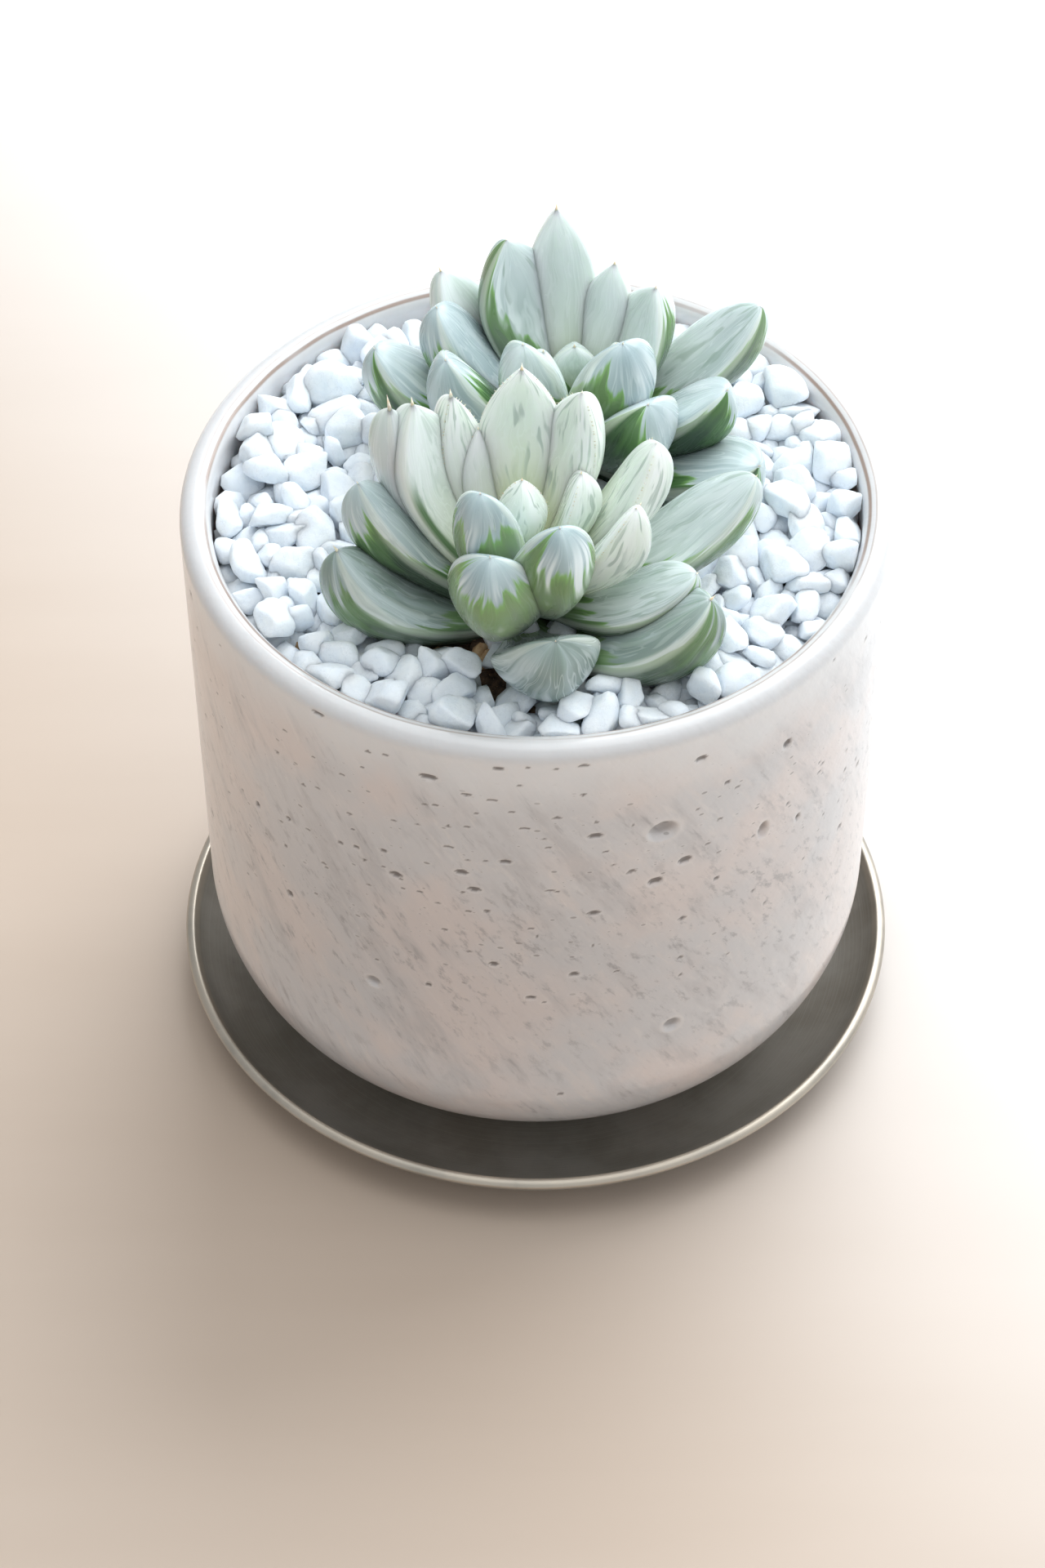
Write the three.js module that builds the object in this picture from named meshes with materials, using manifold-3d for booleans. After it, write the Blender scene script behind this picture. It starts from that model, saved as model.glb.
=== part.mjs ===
// Potted haworthia: two rosettes of windowed leaves in a bubble-glass pot that stands on a metal saucer.
// Millimetres, +Z up. The saucer's underside lies on z = 0 and the pot's axis is the Z axis.
// The front of the pot is towards -Y.

import * as THREE from 'three';
import { mergeVertices } from 'three/addons/utils/BufferGeometryUtils.js';
import Module from 'manifold-3d';

const wasm = await Module();
wasm.setup();

// ---------------------------------------------------------------- driving dimensions

const GAP = 0.3;                    // clearance between pieces that touch
const DEGREE = Math.PI / 180;

const SAUCER_LIP_RADIUS = 51.1;
const SAUCER_HEIGHT = 7.4;          // of the lip's outer edge
const SAUCER_FLAT_RADIUS = 37;      // the flat underside
const SAUCER_THICKNESS = 1.5;
const SAUCER_FLARE = 68;            // degrees of curve from the flat floor to the lip

const POT_RADIUS = 47.5;            // at the rim
const POT_WAIST_RADIUS = 46.6;      // just above the rounded bottom
const POT_RIM_Z = 90.6;
const POT_WALL = 4.2;
const POT_FLOOR = 5;
const POT_ROUNDING = 23;            // radius of the rounded bottom edge
const LIP_ROUNDING = 2.1;           // half the wall: the rim is fully round
const DRAIN_RADIUS = 4.5;

const SOIL_Z = 81.6;
const BED_MIDDLE_Z = 84.2;          // the lower layer of chips, packed close: a shallow dish
const BED_EDGE_Z = 86.2;
const CHIP_SPACING = 7.2;
const CHIP_SIZE = [5, 6.8];
const CHIP_TILT = 0.6;              // radians
const CHIP_TO_STEM = 12;            // chips nearer to a stem than this would be hidden
const CHIP_LIFT = 0.2;              // how far a chip's centre lies above the bed

const PLANT_Z = 86.6;               // where the lowest leaves spring from the stems
const STEM_RADIUS = 3.6;
const STEM_DEPTH = 19;              // how far the stems reach below the lowest leaves
const STEM_RISE = 9;                // how far they reach up inside the rosettes

const LEAF_SIDES = 12;
const LEAF_RINGS = 7;
const LEAF_CLEARANCE = 0.4;         // the gravel stays this far from the leaves

const FRONT_CENTRE = [-2, -17.1];
const BACK_CENTRE = [5, 12.9];

// One leaf a row. azimuth: direction it grows in, 0 to the front and 90 to the right. rise and tipRise: its
// slope at the root and at the tip. length, width, thickness. blunt: 0.4 rounded tip, 1 pointed tip.
// lift: height of its root above the lowest ones. sweep: how far it turns sideways towards its tip, in degrees.
const FRONT_LEAVES = [
  // outer and middle leaves, from the front round to the right
  { azimuth: 12, rise: 0, tipRise: 72, length: 25, width: 13.8, thickness: 8, blunt: 0.5, lift: 0 },
  { azimuth: -13, rise: 31, tipRise: 78, length: 28.5, width: 13.2, thickness: 8.5, blunt: 0.45, lift: 3 },
  { azimuth: 16, rise: 36, tipRise: 80, length: 30, width: 11.2, thickness: 8, blunt: 0.5, lift: 5 },
  { azimuth: -24, rise: 50, tipRise: 82, length: 28, width: 9.6, thickness: 7, blunt: 0.45, lift: 6 },
  { azimuth: -88, rise: 37, tipRise: 61, length: 30, width: 10, thickness: 8.5, blunt: 0.75, lift: 0.5 },
  { azimuth: -67, rise: 8, tipRise: 62, length: 29.5, width: 11, thickness: 9.5, blunt: 0.75, lift: -1, sweep: -30 },
  { azimuth: 52, rise: 10, tipRise: 42, length: 26, width: 11, thickness: 7, blunt: 0.6, lift: 3, sweep: 40 },
  { azimuth: 42, rise: 3, tipRise: 56, length: 32, width: 14, thickness: 10, blunt: 0.6, lift: -0.8, sweep: 48 },
  { azimuth: 60, rise: 35, tipRise: 75, length: 27, width: 9, thickness: 6, blunt: 0.6, lift: 4 },
  { azimuth: 92, rise: 36, tipRise: 75, length: 28, width: 9.5, thickness: 6.5, blunt: 0.6, lift: 6 },
  { azimuth: 92, rise: 10, tipRise: 52, length: 34.5, width: 12, thickness: 7.5, blunt: 0.6, lift: 3, sweep: 10 },
  // upright inner leaves
  { azimuth: 180, rise: 62, tipRise: 80, length: 26, width: 11, thickness: 6, blunt: 0.85, lift: 9 },
  { azimuth: 128, rise: 58, tipRise: 85, length: 26, width: 10, thickness: 6, blunt: 0.8, lift: 8 },
  { azimuth: 84, rise: 55, tipRise: 85, length: 18, width: 8.5, thickness: 5, blunt: 0.7, lift: 8 },
  { azimuth: 0, rise: 80, tipRise: 88, length: 17, width: 6.5, thickness: 5, blunt: 0.8, lift: 9 },
  { azimuth: -142, rise: 52, tipRise: 80, length: 19, width: 9, thickness: 5, blunt: 0.8, lift: 8 },
  // slender leaves of the left side
  { azimuth: -100, rise: 48, tipRise: 84, length: 33, width: 14, thickness: 7, blunt: 1, lift: 3, sweep: -22 },
  { azimuth: -104, rise: 40, tipRise: 84, length: 35, width: 10, thickness: 6.5, blunt: 1, lift: 3 },
  { azimuth: -129, rise: 55, tipRise: 84, length: 29.5, width: 8, thickness: 6, blunt: 1, lift: 4 },
  // short leaves towards the other rosette
  { azimuth: 150, rise: 25, tipRise: 70, length: 16, width: 9, thickness: 6, blunt: 0.6, lift: 2 },
  { azimuth: -160, rise: 25, tipRise: 70, length: 16, width: 9, thickness: 6, blunt: 0.6, lift: 2 },
];

const BACK_LEAVES = [
  // tall leaves of the far side
  { azimuth: -170, rise: 52, tipRise: 78, length: 30, width: 9.5, thickness: 6.5, blunt: 0.9, lift: 5 },
  { azimuth: -137, rise: 48, tipRise: 80, length: 27.5, width: 14, thickness: 6.5, blunt: 0.85, lift: 5 },
  { azimuth: -117, rise: 32, tipRise: 64, length: 28.5, width: 12, thickness: 6.5, blunt: 0.8, lift: 4 },
  { azimuth: 152, rise: 50, tipRise: 78, length: 23, width: 8, thickness: 6, blunt: 0.9, lift: 5 },
  { azimuth: 114, rise: 45, tipRise: 82, length: 23.5, width: 11.5, thickness: 6, blunt: 0.8, lift: 5 },
  { azimuth: 100, rise: 27, tipRise: 51, length: 31, width: 12, thickness: 7.5, blunt: 0.65, lift: 3 },
  // blunt leaves of the near side, from the right round to the left
  { azimuth: 58, rise: 8, tipRise: 34, length: 29.5, width: 13, thickness: 10, blunt: 0.5, lift: 1 },
  { azimuth: 66, rise: 25, tipRise: 52, length: 26.5, width: 11, thickness: 8, blunt: 0.5, lift: 3 },
  { azimuth: 31, rise: 30, tipRise: 68, length: 26, width: 13.5, thickness: 8, blunt: 0.45, lift: 3.5 },
  { azimuth: 30, rise: 48, tipRise: 82, length: 25.5, width: 12.5, thickness: 8, blunt: 0.45, lift: 6 },
  { azimuth: -37, rise: 50, tipRise: 80, length: 24, width: 9.5, thickness: 7.5, blunt: 0.45, lift: 6 },
  { azimuth: -63, rise: 30, tipRise: 68, length: 27.5, width: 12.5, thickness: 8, blunt: 0.5, lift: 4 },
  { azimuth: -95, rise: 35, tipRise: 66, length: 27, width: 11, thickness: 8, blunt: 0.5, lift: 4 },
  { azimuth: -91, rise: 10, tipRise: 56, length: 31, width: 12.5, thickness: 9, blunt: 0.5, lift: 2 },
  // young leaves in the heart
  { azimuth: 70, rise: 62, tipRise: 85, length: 15, width: 8, thickness: 5, blunt: 0.8, lift: 7 },
  { azimuth: -60, rise: 66, tipRise: 86, length: 14, width: 8, thickness: 5, blunt: 0.8, lift: 7 },
  { azimuth: 180, rise: 75, tipRise: 88, length: 9, width: 6.5, thickness: 4.5, blunt: 0.8, lift: 8 },
  // low leaves behind the tall ones
  { azimuth: 176, rise: 14, tipRise: 50, length: 20, width: 11, thickness: 7, blunt: 0.55, lift: 2 },
  { azimuth: 142, rise: 16, tipRise: 50, length: 17, width: 10.5, thickness: 7, blunt: 0.55, lift: 2 },
  { azimuth: -148, rise: 16, tipRise: 50, length: 18, width: 10.5, thickness: 7, blunt: 0.55, lift: 2 },
];

// ---------------------------------------------------------------- helpers

// A small seeded random generator, so that every build gives the same stones.
function seededRandom(seed) {
  let state = seed;
  return () => {
    state = (state * 1664525 + 1013904223) % 4294967296;
    return state / 4294967296;
  };
}

function signedVolume(positions, triangles) {
  const a = new THREE.Vector3();
  const b = new THREE.Vector3();
  const c = new THREE.Vector3();
  let volume = 0;
  for (let i = 0; i < triangles.length; i += 3) {
    a.fromArray(positions, triangles[i] * 3);
    b.fromArray(positions, triangles[i + 1] * 3);
    c.fromArray(positions, triangles[i + 2] * 3);
    volume += a.dot(b.cross(c)) / 6;
  }
  return volume;
}

// A closed three.js geometry as a solid that can be joined and cut.
function solidOf(geometry) {
  const bare = geometry.clone();
  bare.deleteAttribute('normal');
  bare.deleteAttribute('uv');
  const merged = mergeVertices(bare, 1e-4);
  const positions = Float32Array.from(merged.attributes.position.array);
  const triangles = [];
  const index = merged.index.array;
  for (let i = 0; i < index.length; i += 3) {
    const [a, b, c] = [index[i], index[i + 1], index[i + 2]];
    if (a !== b && b !== c && c !== a) triangles.push(a, b, c);
  }
  if (signedVolume(positions, triangles) < 0) triangles.reverse();
  const mesh = new wasm.Mesh({
    numProp: 3,
    vertProperties: positions,
    triVerts: Uint32Array.from(triangles),
  });
  return new wasm.Manifold(mesh);
}

function meshOf(name, solid, color, roughness, metalness = 0) {
  const { vertProperties, triVerts } = solid.getMesh();
  const geometry = new THREE.BufferGeometry();
  geometry.setAttribute('position', new THREE.BufferAttribute(Float32Array.from(vertProperties), 3));
  geometry.setIndex(new THREE.BufferAttribute(Uint32Array.from(triVerts), 1));
  geometry.computeVertexNormals();
  const mesh = new THREE.Mesh(geometry, new THREE.MeshStandardMaterial({ color, roughness, metalness }));
  mesh.name = name;
  return mesh;
}

function joined(solids) {
  return solids.reduce((whole, solid) => whole.add(solid));
}

// The largest single body of a solid, without the crumbs that a cut has freed.
function mainBody(solid) {
  return solid.decompose().reduce((best, body) => (body.volume() > best.volume() ? body : best));
}

// A profile of [radius, z] points turned round the Z axis.
function turned(profile, segments) {
  const points = profile.map(([radius, z]) => new THREE.Vector2(radius, z));
  return solidOf(new THREE.LatheGeometry(points, segments).rotateX(Math.PI / 2));
}

// Points on an arc of a circle, angles in degrees from the +radius direction.
function arc([radius, z], size, from, to, steps) {
  return Array.from({ length: steps + 1 }, (_, i) => {
    const angle = (from + (to - from) * (i / steps)) * DEGREE;
    return [radius + size * Math.cos(angle), z + size * Math.sin(angle)];
  });
}

function smooth(t) {
  const x = Math.min(Math.max(t, 0), 1);
  return x * x * (3 - 2 * x);
}

// ---------------------------------------------------------------- saucer

const SAUCER_SEGMENTS = 40;

function saucer() {
  const steps = 6;
  const run = SAUCER_LIP_RADIUS - SAUCER_FLAT_RADIUS;
  const flare = SAUCER_FLARE * DEGREE;
  const outer = [];
  const inner = [];
  for (let i = 0; i <= steps; i += 1) {
    const angle = flare * (i / steps);
    const radius = SAUCER_FLAT_RADIUS + run * (Math.sin(angle) / Math.sin(flare));
    const z = SAUCER_HEIGHT * ((1 - Math.cos(angle)) / (1 - Math.cos(flare)));
    const slope = Math.atan2(
      SAUCER_HEIGHT * (Math.sin(angle) / (1 - Math.cos(flare))),
      run * (Math.cos(angle) / Math.sin(flare)),
    );
    outer.push([radius, z]);
    inner.push([radius - SAUCER_THICKNESS * Math.sin(slope), z + SAUCER_THICKNESS * Math.cos(slope)]);
  }
  const lipMiddle = [(outer[steps][0] + inner[steps][0]) / 2 + 0.3, (outer[steps][1] + inner[steps][1]) / 2 + 0.5];
  return turned([[0, 0], ...outer, lipMiddle, ...inner.reverse(), [0, SAUCER_THICKNESS]], SAUCER_SEGMENTS);
}

// ---------------------------------------------------------------- pot

const POT_SEGMENTS = 48;
const POT_BASE_Z = SAUCER_THICKNESS + GAP;
const POT_INNER_FLOOR_Z = POT_BASE_Z + POT_FLOOR;
const INNER_ROUNDING = POT_ROUNDING - POT_WALL;
const INNER_WAIST = POT_WAIST_RADIUS - POT_WALL;
const INNER_RIM = POT_RADIUS - POT_WALL;

function pot() {
  const steps = 6;
  const outerBottom = [POT_WAIST_RADIUS - POT_ROUNDING, POT_BASE_Z + POT_ROUNDING];
  const innerBottom = [INNER_WAIST - INNER_ROUNDING, POT_INNER_FLOOR_Z + INNER_ROUNDING];
  const lip = [POT_RADIUS - LIP_ROUNDING, POT_RIM_Z - LIP_ROUNDING];
  return turned([
    [DRAIN_RADIUS, POT_BASE_Z],
    ...arc(outerBottom, POT_ROUNDING, -90, 0, steps),
    ...arc(lip, LIP_ROUNDING, 0, 180, 6),
    ...arc(innerBottom, INNER_ROUNDING, 0, -90, steps),
    [DRAIN_RADIUS, POT_INNER_FLOOR_Z],
    [DRAIN_RADIUS, POT_BASE_Z],
  ], POT_SEGMENTS);
}

// The room inside the pot, kept clear of the glass, between two heights. The top may rise to the wall.
function potRoom(fromZ, toZ, wallZ = toZ) {
  const rounding = INNER_ROUNDING - GAP;
  const bottom = [INNER_WAIST - INNER_ROUNDING, POT_INNER_FLOOR_Z + INNER_ROUNDING];
  const whole = turned([
    [0, POT_INNER_FLOOR_Z + GAP],
    ...arc(bottom, rounding, -90, 0, 6),
    [INNER_RIM - GAP, POT_RIM_Z],
    [0, POT_RIM_Z],
  ], POT_SEGMENTS);
  const slab = turned([[0, fromZ], [INNER_RIM, fromZ], [INNER_RIM, wallZ], [0, toZ]], POT_SEGMENTS);
  return whole.intersect(slab);
}

// ---------------------------------------------------------------- leaves

// Where a leaf's centreline is at s, from 0 at the root to 1 at the tip, and which way it runs there.
function stationOf(leaf, centre, s) {
  const azimuth = leaf.azimuth * DEGREE;
  const outward = new THREE.Vector3(Math.sin(azimuth), -Math.cos(azimuth), 0);
  const sideways = new THREE.Vector3(Math.cos(azimuth), Math.sin(azimuth), 0);
  const directionAt = (t) => {
    const slope = (leaf.rise + (leaf.tipRise - leaf.rise) * t) * DEGREE;
    const sweep = (leaf.sweep ?? 0) * t * DEGREE;
    const level = outward.clone().multiplyScalar(Math.cos(sweep)).addScaledVector(sideways, Math.sin(sweep));
    return level.multiplyScalar(Math.cos(slope)).setZ(Math.sin(slope));
  };
  const place = new THREE.Vector3(centre[0], centre[1], PLANT_Z + leaf.lift).addScaledVector(outward, 1.5);
  const steps = 16;
  for (let i = 0; i < steps; i += 1) {
    place.addScaledVector(directionAt(((i + 0.5) / steps) * s), (leaf.length * s) / steps);
  }
  const along = directionAt(s);
  const across = new THREE.Vector3(-along.y, along.x, 0).normalize();
  const upper = along.clone().cross(across);
  return { place, across, upper };
}

// A form that grows from its size at the root to 1 at the widest place, and closes to 0 at the tip.
function form(s, rootSize, widest, blunt) {
  if (s < widest) return rootSize + (1 - rootSize) * smooth(s / widest);
  return Math.max(0, 1 - ((s - widest) / (1 - widest)) ** 2) ** blunt;
}

// A thick boat-shaped leaf: a shallow upper face, sharp margins and a keel below.
// grow makes it larger all round, to cut its place in the gravel.
function leafSolid(leaf, centre, grow = 0) {
  const profile = [new THREE.Vector2(0, 0)];
  for (let i = 0; i < LEAF_RINGS; i += 1) {
    profile.push(new THREE.Vector2(1, 1 - (1 - i / LEAF_RINGS) ** 1.35));
  }
  profile.push(new THREE.Vector2(0, 1));
  const geometry = new THREE.LatheGeometry(profile, LEAF_SIDES);
  const position = geometry.attributes.position;
  const vertex = new THREE.Vector3();
  for (let i = 0; i < position.count; i += 1) {
    vertex.fromBufferAttribute(position, i);
    const s = vertex.y;
    const angle = Math.atan2(vertex.z, vertex.x);
    const reach = Math.hypot(vertex.x, vertex.z);
    const { place, across, upper } = stationOf(leaf, centre, s);
    const side = Math.cos(angle);
    const rise = Math.sin(angle);
    const depth = leaf.thickness * form(s, 0.55, 0.7, 0.55);
    const half = (leaf.width / 2) * form(s, 0.42, 0.62, leaf.blunt);
    const height = rise >= 0
      ? 0.28 * depth * rise
      : -0.72 * depth * (0.65 * Math.abs(rise) + 0.35 * (1 - Math.abs(side)));
    const cup = 0.1 * half * side * side;
    place.addScaledVector(across, reach * (half + grow) * side);
    place.addScaledVector(upper, reach * (height + cup + grow * rise));
    position.setXYZ(i, place.x, place.y, place.z);
  }
  return solidOf(geometry);
}

function stem(centre, grow = 0) {
  const radius = STEM_RADIUS + grow;
  const bottom = PLANT_Z - STEM_DEPTH - grow;
  const top = PLANT_Z + STEM_RISE;
  const length = top - bottom;
  const geometry = new THREE.CylinderGeometry(radius * 0.8, radius, length, 16).rotateX(Math.PI / 2);
  return solidOf(geometry.translate(centre[0], centre[1], bottom + length / 2));
}

function rosette(leaves, centre) {
  return joined([stem(centre), ...leaves.map((leaf) => leafSolid(leaf, centre))]);
}

// The space that a rosette takes out of what lies round it.
function rosetteRoom(leaves, centre) {
  return joined([stem(centre, GAP), ...leaves.map((leaf) => leafSolid(leaf, centre, LEAF_CLEARANCE))]);
}

// ---------------------------------------------------------------- soil and gravel

function stoneChip(random, x, y) {
  const geometry = new THREE.BoxGeometry(1, 1, 1);
  geometry.deleteAttribute('normal');
  geometry.deleteAttribute('uv');
  const chip = mergeVertices(geometry, 1e-4);
  const position = chip.attributes.position;
  for (let i = 0; i < position.count; i += 1) {
    const swell = 0.72 + 0.5 * random();
    position.setXYZ(i, position.getX(i) * swell, position.getY(i) * swell, position.getZ(i) * swell);
  }
  const size = CHIP_SIZE[0] + (CHIP_SIZE[1] - CHIP_SIZE[0]) * random();
  chip.scale(size, size * (0.7 + 0.2 * random()), size * (0.5 + 0.15 * random()));
  chip.rotateX((random() - 0.5) * CHIP_TILT);
  chip.rotateY((random() - 0.5) * CHIP_TILT);
  chip.rotateZ(random() * Math.PI * 2);
  const bedZ = BED_MIDDLE_Z + (BED_EDGE_Z - BED_MIDDLE_Z) * (Math.hypot(x, y) / INNER_RIM);
  return solidOf(chip.translate(x, y, bedZ + CHIP_LIFT + random() * 0.8 - 0.5));
}

function gravel(plants) {
  const random = seededRandom(61);
  const room = potRoom(SOIL_Z + GAP, POT_RIM_Z);
  const bed = potRoom(SOIL_Z + GAP, BED_MIDDLE_Z, BED_EDGE_Z);
  const chips = [];
  const rowStep = CHIP_SPACING * Math.sqrt(0.75);
  const rows = Math.ceil(INNER_RIM / rowStep);
  for (let row = -rows; row <= rows; row += 1) {
    for (let column = -rows - 1; column <= rows + 1; column += 1) {
      const shift = row % 2 === 0 ? 0 : CHIP_SPACING / 2;
      const x = column * CHIP_SPACING + shift + (random() - 0.5) * 1.8;
      const y = row * rowStep + (random() - 0.5) * 1.8;
      const toStem = Math.min(
        Math.hypot(x - FRONT_CENTRE[0], y - FRONT_CENTRE[1]),
        Math.hypot(x - BACK_CENTRE[0], y - BACK_CENTRE[1]),
      );
      if (Math.hypot(x, y) < INNER_RIM - 1.6 && toStem > CHIP_TO_STEM) chips.push(stoneChip(random, x, y));
    }
  }
  return mainBody(joined([bed, ...chips]).intersect(room).subtract(plants));
}

function soil() {
  const hole = (centre) => stem(centre, GAP);
  return potRoom(0, SOIL_Z).subtract(hole(FRONT_CENTRE)).subtract(hole(BACK_CENTRE));
}

// ---------------------------------------------------------------- the object

const plants = rosetteRoom(FRONT_LEAVES, FRONT_CENTRE).add(rosetteRoom(BACK_LEAVES, BACK_CENTRE));

const pottedHaworthia = new THREE.Group();
pottedHaworthia.add(meshOf('saucer', saucer(), 0x5d564d, 0.38, 0.85));
pottedHaworthia.add(meshOf('glass_pot', pot(), 0xbfb5ae, 0.12));
pottedHaworthia.add(meshOf('soil', soil(), 0x4a3426, 0.95));
pottedHaworthia.add(meshOf('gravel', gravel(plants), 0xeef0f4, 0.75));
pottedHaworthia.add(meshOf('front_rosette', rosette(FRONT_LEAVES, FRONT_CENTRE), 0xb9cbb6, 0.35));
pottedHaworthia.add(meshOf('back_rosette', rosette(BACK_LEAVES, BACK_CENTRE), 0xa9c3bb, 0.35));

export default pottedHaworthia;
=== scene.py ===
"""Potted haworthia: the fine model of its two rosettes, stone chips, bubble-glass pot and saucer.

The sizes below are millimetres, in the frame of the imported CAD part: +Z up, the saucer's underside on z = 0,
the pot's axis on the Z axis and the front of the pot towards -Y. Meshes are written in metres.
"""

import math
from typing import NamedTuple

import bmesh
import bpy
import numpy as np
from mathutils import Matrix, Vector


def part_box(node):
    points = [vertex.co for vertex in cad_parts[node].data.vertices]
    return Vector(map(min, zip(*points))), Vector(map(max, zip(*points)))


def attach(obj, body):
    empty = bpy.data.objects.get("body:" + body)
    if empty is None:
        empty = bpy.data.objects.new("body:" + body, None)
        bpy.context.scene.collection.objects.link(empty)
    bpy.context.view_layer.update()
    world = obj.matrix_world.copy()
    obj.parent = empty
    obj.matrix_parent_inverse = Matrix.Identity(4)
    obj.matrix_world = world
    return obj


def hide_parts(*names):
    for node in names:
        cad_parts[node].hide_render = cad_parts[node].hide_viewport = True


MM = 0.001

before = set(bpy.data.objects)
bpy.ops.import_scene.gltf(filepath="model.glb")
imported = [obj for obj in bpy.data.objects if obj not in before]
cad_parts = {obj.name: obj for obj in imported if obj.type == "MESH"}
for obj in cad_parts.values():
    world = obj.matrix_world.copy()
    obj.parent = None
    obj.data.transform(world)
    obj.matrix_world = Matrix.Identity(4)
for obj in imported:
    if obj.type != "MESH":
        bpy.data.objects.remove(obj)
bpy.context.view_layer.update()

# ---------------- sizes

pot_low, pot_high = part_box("glass_pot")
saucer_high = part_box("saucer")[1]
POT_RADIUS = pot_high.x / MM
POT_RIM_Z = pot_high.z / MM
POT_BASE_Z = pot_low.z / MM
SAUCER_RADIUS = saucer_high.x / MM
SOIL_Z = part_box("soil")[1].z / MM

POT_WAIST_RADIUS = 46.6
POT_WALL = 4.2
POT_FLOOR = 5.0
POT_ROUNDING = 23.0
LIP_ROUNDING = 2.1
DRAIN_RADIUS = 4.5
INNER_RADIUS = POT_RADIUS - POT_WALL

SAUCER_HEIGHT = 7.4
SAUCER_FLAT_RADIUS = 37.0
SAUCER_THICKNESS = 1.5
SAUCER_FLARE = 68.0
SAUCER_COLUMNS = 256

PLANT_Z = 86.6
STEM_RADIUS = 3.6
STEM_DEPTH = 19.0
STEM_RISE = 9.0
ROOT_OFFSET = 1.5
FRONT_CENTRE = (-2.0, -17.1)
BACK_CENTRE = (5.0, 12.9)

# ---------------- camera

CAMERA_PITCH = 46.5
CAMERA_DISTANCE = 618.0
CAMERA_TARGET = Vector((-1.93, 0.0, 35.0))
LENS = 100
SENSOR_WIDTH = 36


def add_object(name, data):
    thing = bpy.data.objects.new(name, data)
    bpy.context.scene.collection.objects.link(thing)
    return thing


def make_camera():
    data = bpy.data.cameras.new("camera")
    data.lens = LENS
    data.sensor_width = SENSOR_WIDTH
    data.clip_start = 0.02
    data.clip_end = 20
    camera = add_object("camera", data)
    pitch = math.radians(CAMERA_PITCH)
    back = Vector((0, -math.cos(pitch), math.sin(pitch)))
    camera.location = (CAMERA_TARGET + back * CAMERA_DISTANCE) * MM
    camera.rotation_euler = (math.radians(90 - CAMERA_PITCH), 0, 0)
    bpy.context.scene.camera = camera


make_camera()

# ---------------- shader helpers


class Shading:
    """One procedural material, with short names for the nodes that it is made of."""

    def __init__(self, name):
        self.material = bpy.data.materials.new(name)
        self.material.use_nodes = True
        self.tree = self.material.node_tree
        self.surface = self.tree.nodes["Principled BSDF"]

    def join(self, socket, value):
        if isinstance(value, bpy.types.NodeSocket):
            self.tree.links.new(value, socket)
        elif socket.type == "RGBA":
            socket.default_value = (*value, 1)
        else:
            socket.default_value = value

    def finish(self, **inputs):
        for name, value in inputs.items():
            self.join(self.surface.inputs[name.replace("_", " ")], value)
        return self.material

    def node(self, kind, *inputs):
        node = self.tree.nodes.new("ShaderNode" + kind)
        for socket, value in zip(node.inputs, inputs):
            self.join(socket, value)
        return node

    def math(self, operation, a, b=0.0):
        node = self.node("Math", a, b)
        node.operation = operation
        return node.outputs[0]

    def plus(self, total, *terms):
        for term in terms:
            total = self.math("ADD", total, term)
        return total

    def minus(self, a, b):
        return self.math("SUBTRACT", a, b)

    def apart(self, a, b):
        return self.math("ABSOLUTE", self.minus(a, b))

    def times(self, product, *factors):
        for factor in factors:
            product = self.math("MULTIPLY", product, factor)
        return product

    def smooth(self, value, low, high):
        """0 below low, 1 above high and a soft step between them. low may be the greater."""
        start, end = (1.0, 0.0) if low > high else (0.0, 1.0)
        node = self.node("MapRange", value, min(low, high), max(low, high), start, end)
        node.interpolation_type = "SMOOTHSTEP"
        return node.outputs["Result"]

    def blend(self, share, a, b):
        node = self.node("Mix", share)
        node.data_type = "RGBA"
        self.join(node.inputs[6], a)
        self.join(node.inputs[7], b)
        return node.outputs[2]

    def layers(self, colour, *rows):
        """Lays other colours over a colour. Each row says where, how strongly and which."""
        for share, strength, other in rows:
            colour = self.blend(self.times(share, strength), colour, other)
        return colour

    def vector(self, operation, a, b):
        node = self.node("VectorMath", a, b)
        node.operation = operation
        return node.outputs[0]

    def parts(self, vector):
        return self.node("SeparateXYZ", vector).outputs

    def from_axis(self, x, y):
        return self.math("SQRT", self.plus(self.times(x, x), self.times(y, y)))

    def attribute(self, name):
        node = self.node("Attribute")
        node.attribute_name = name
        return node.outputs["Vector"]

    def place(self):
        """The point of the object, in millimetres."""
        node = self.node("TexCoord")
        return self.vector("MULTIPLY", node.outputs["Object"], (1 / MM, 1 / MM, 1 / MM))

    def named(self, kind, **inputs):
        """The outputs of a node whose inputs are given by name."""
        node = self.node(kind)
        for name, value in inputs.items():
            self.join(node.inputs[name], value)
        return node.outputs

    def noise(self, vector, scale, detail=2.0, roughness=0.5):
        return self.named("TexNoise", Vector=vector, Scale=scale, Detail=detail, Roughness=roughness)["Fac"]

    def warp(self, vector, scale, reach):
        """A vector that wanders smoothly with the place, by up to about half the reach each way."""
        colour = self.named("TexNoise", Vector=vector, Scale=scale, Detail=1)["Color"]
        centred = self.vector("SUBTRACT", colour, (0.5, 0.5, 0.5))
        return self.vector("MULTIPLY", centred, (reach, reach, 0))

    def cells(self, vector, scale):
        """Voronoi cells: the distance to the nearest cell's point and the cell's random colour."""
        outputs = self.named("TexVoronoi", Vector=vector, Scale=scale)
        return outputs["Distance"], outputs["Color"]

    def bump(self, height, distance, strength=1.0):
        """A normal from a height between 0 and 1 that stands for the distance given, in millimetres."""
        return self.named("Bump", Height=height, Distance=distance * MM, Strength=strength)["Normal"]


# ---------------- mesh helpers


def smooth_step(t):
    x = np.clip(t, 0, 1)
    return x * x * (3 - 2 * x)


def unit(vectors):
    return vectors / np.linalg.norm(vectors, axis=-1, keepdims=True)


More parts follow.
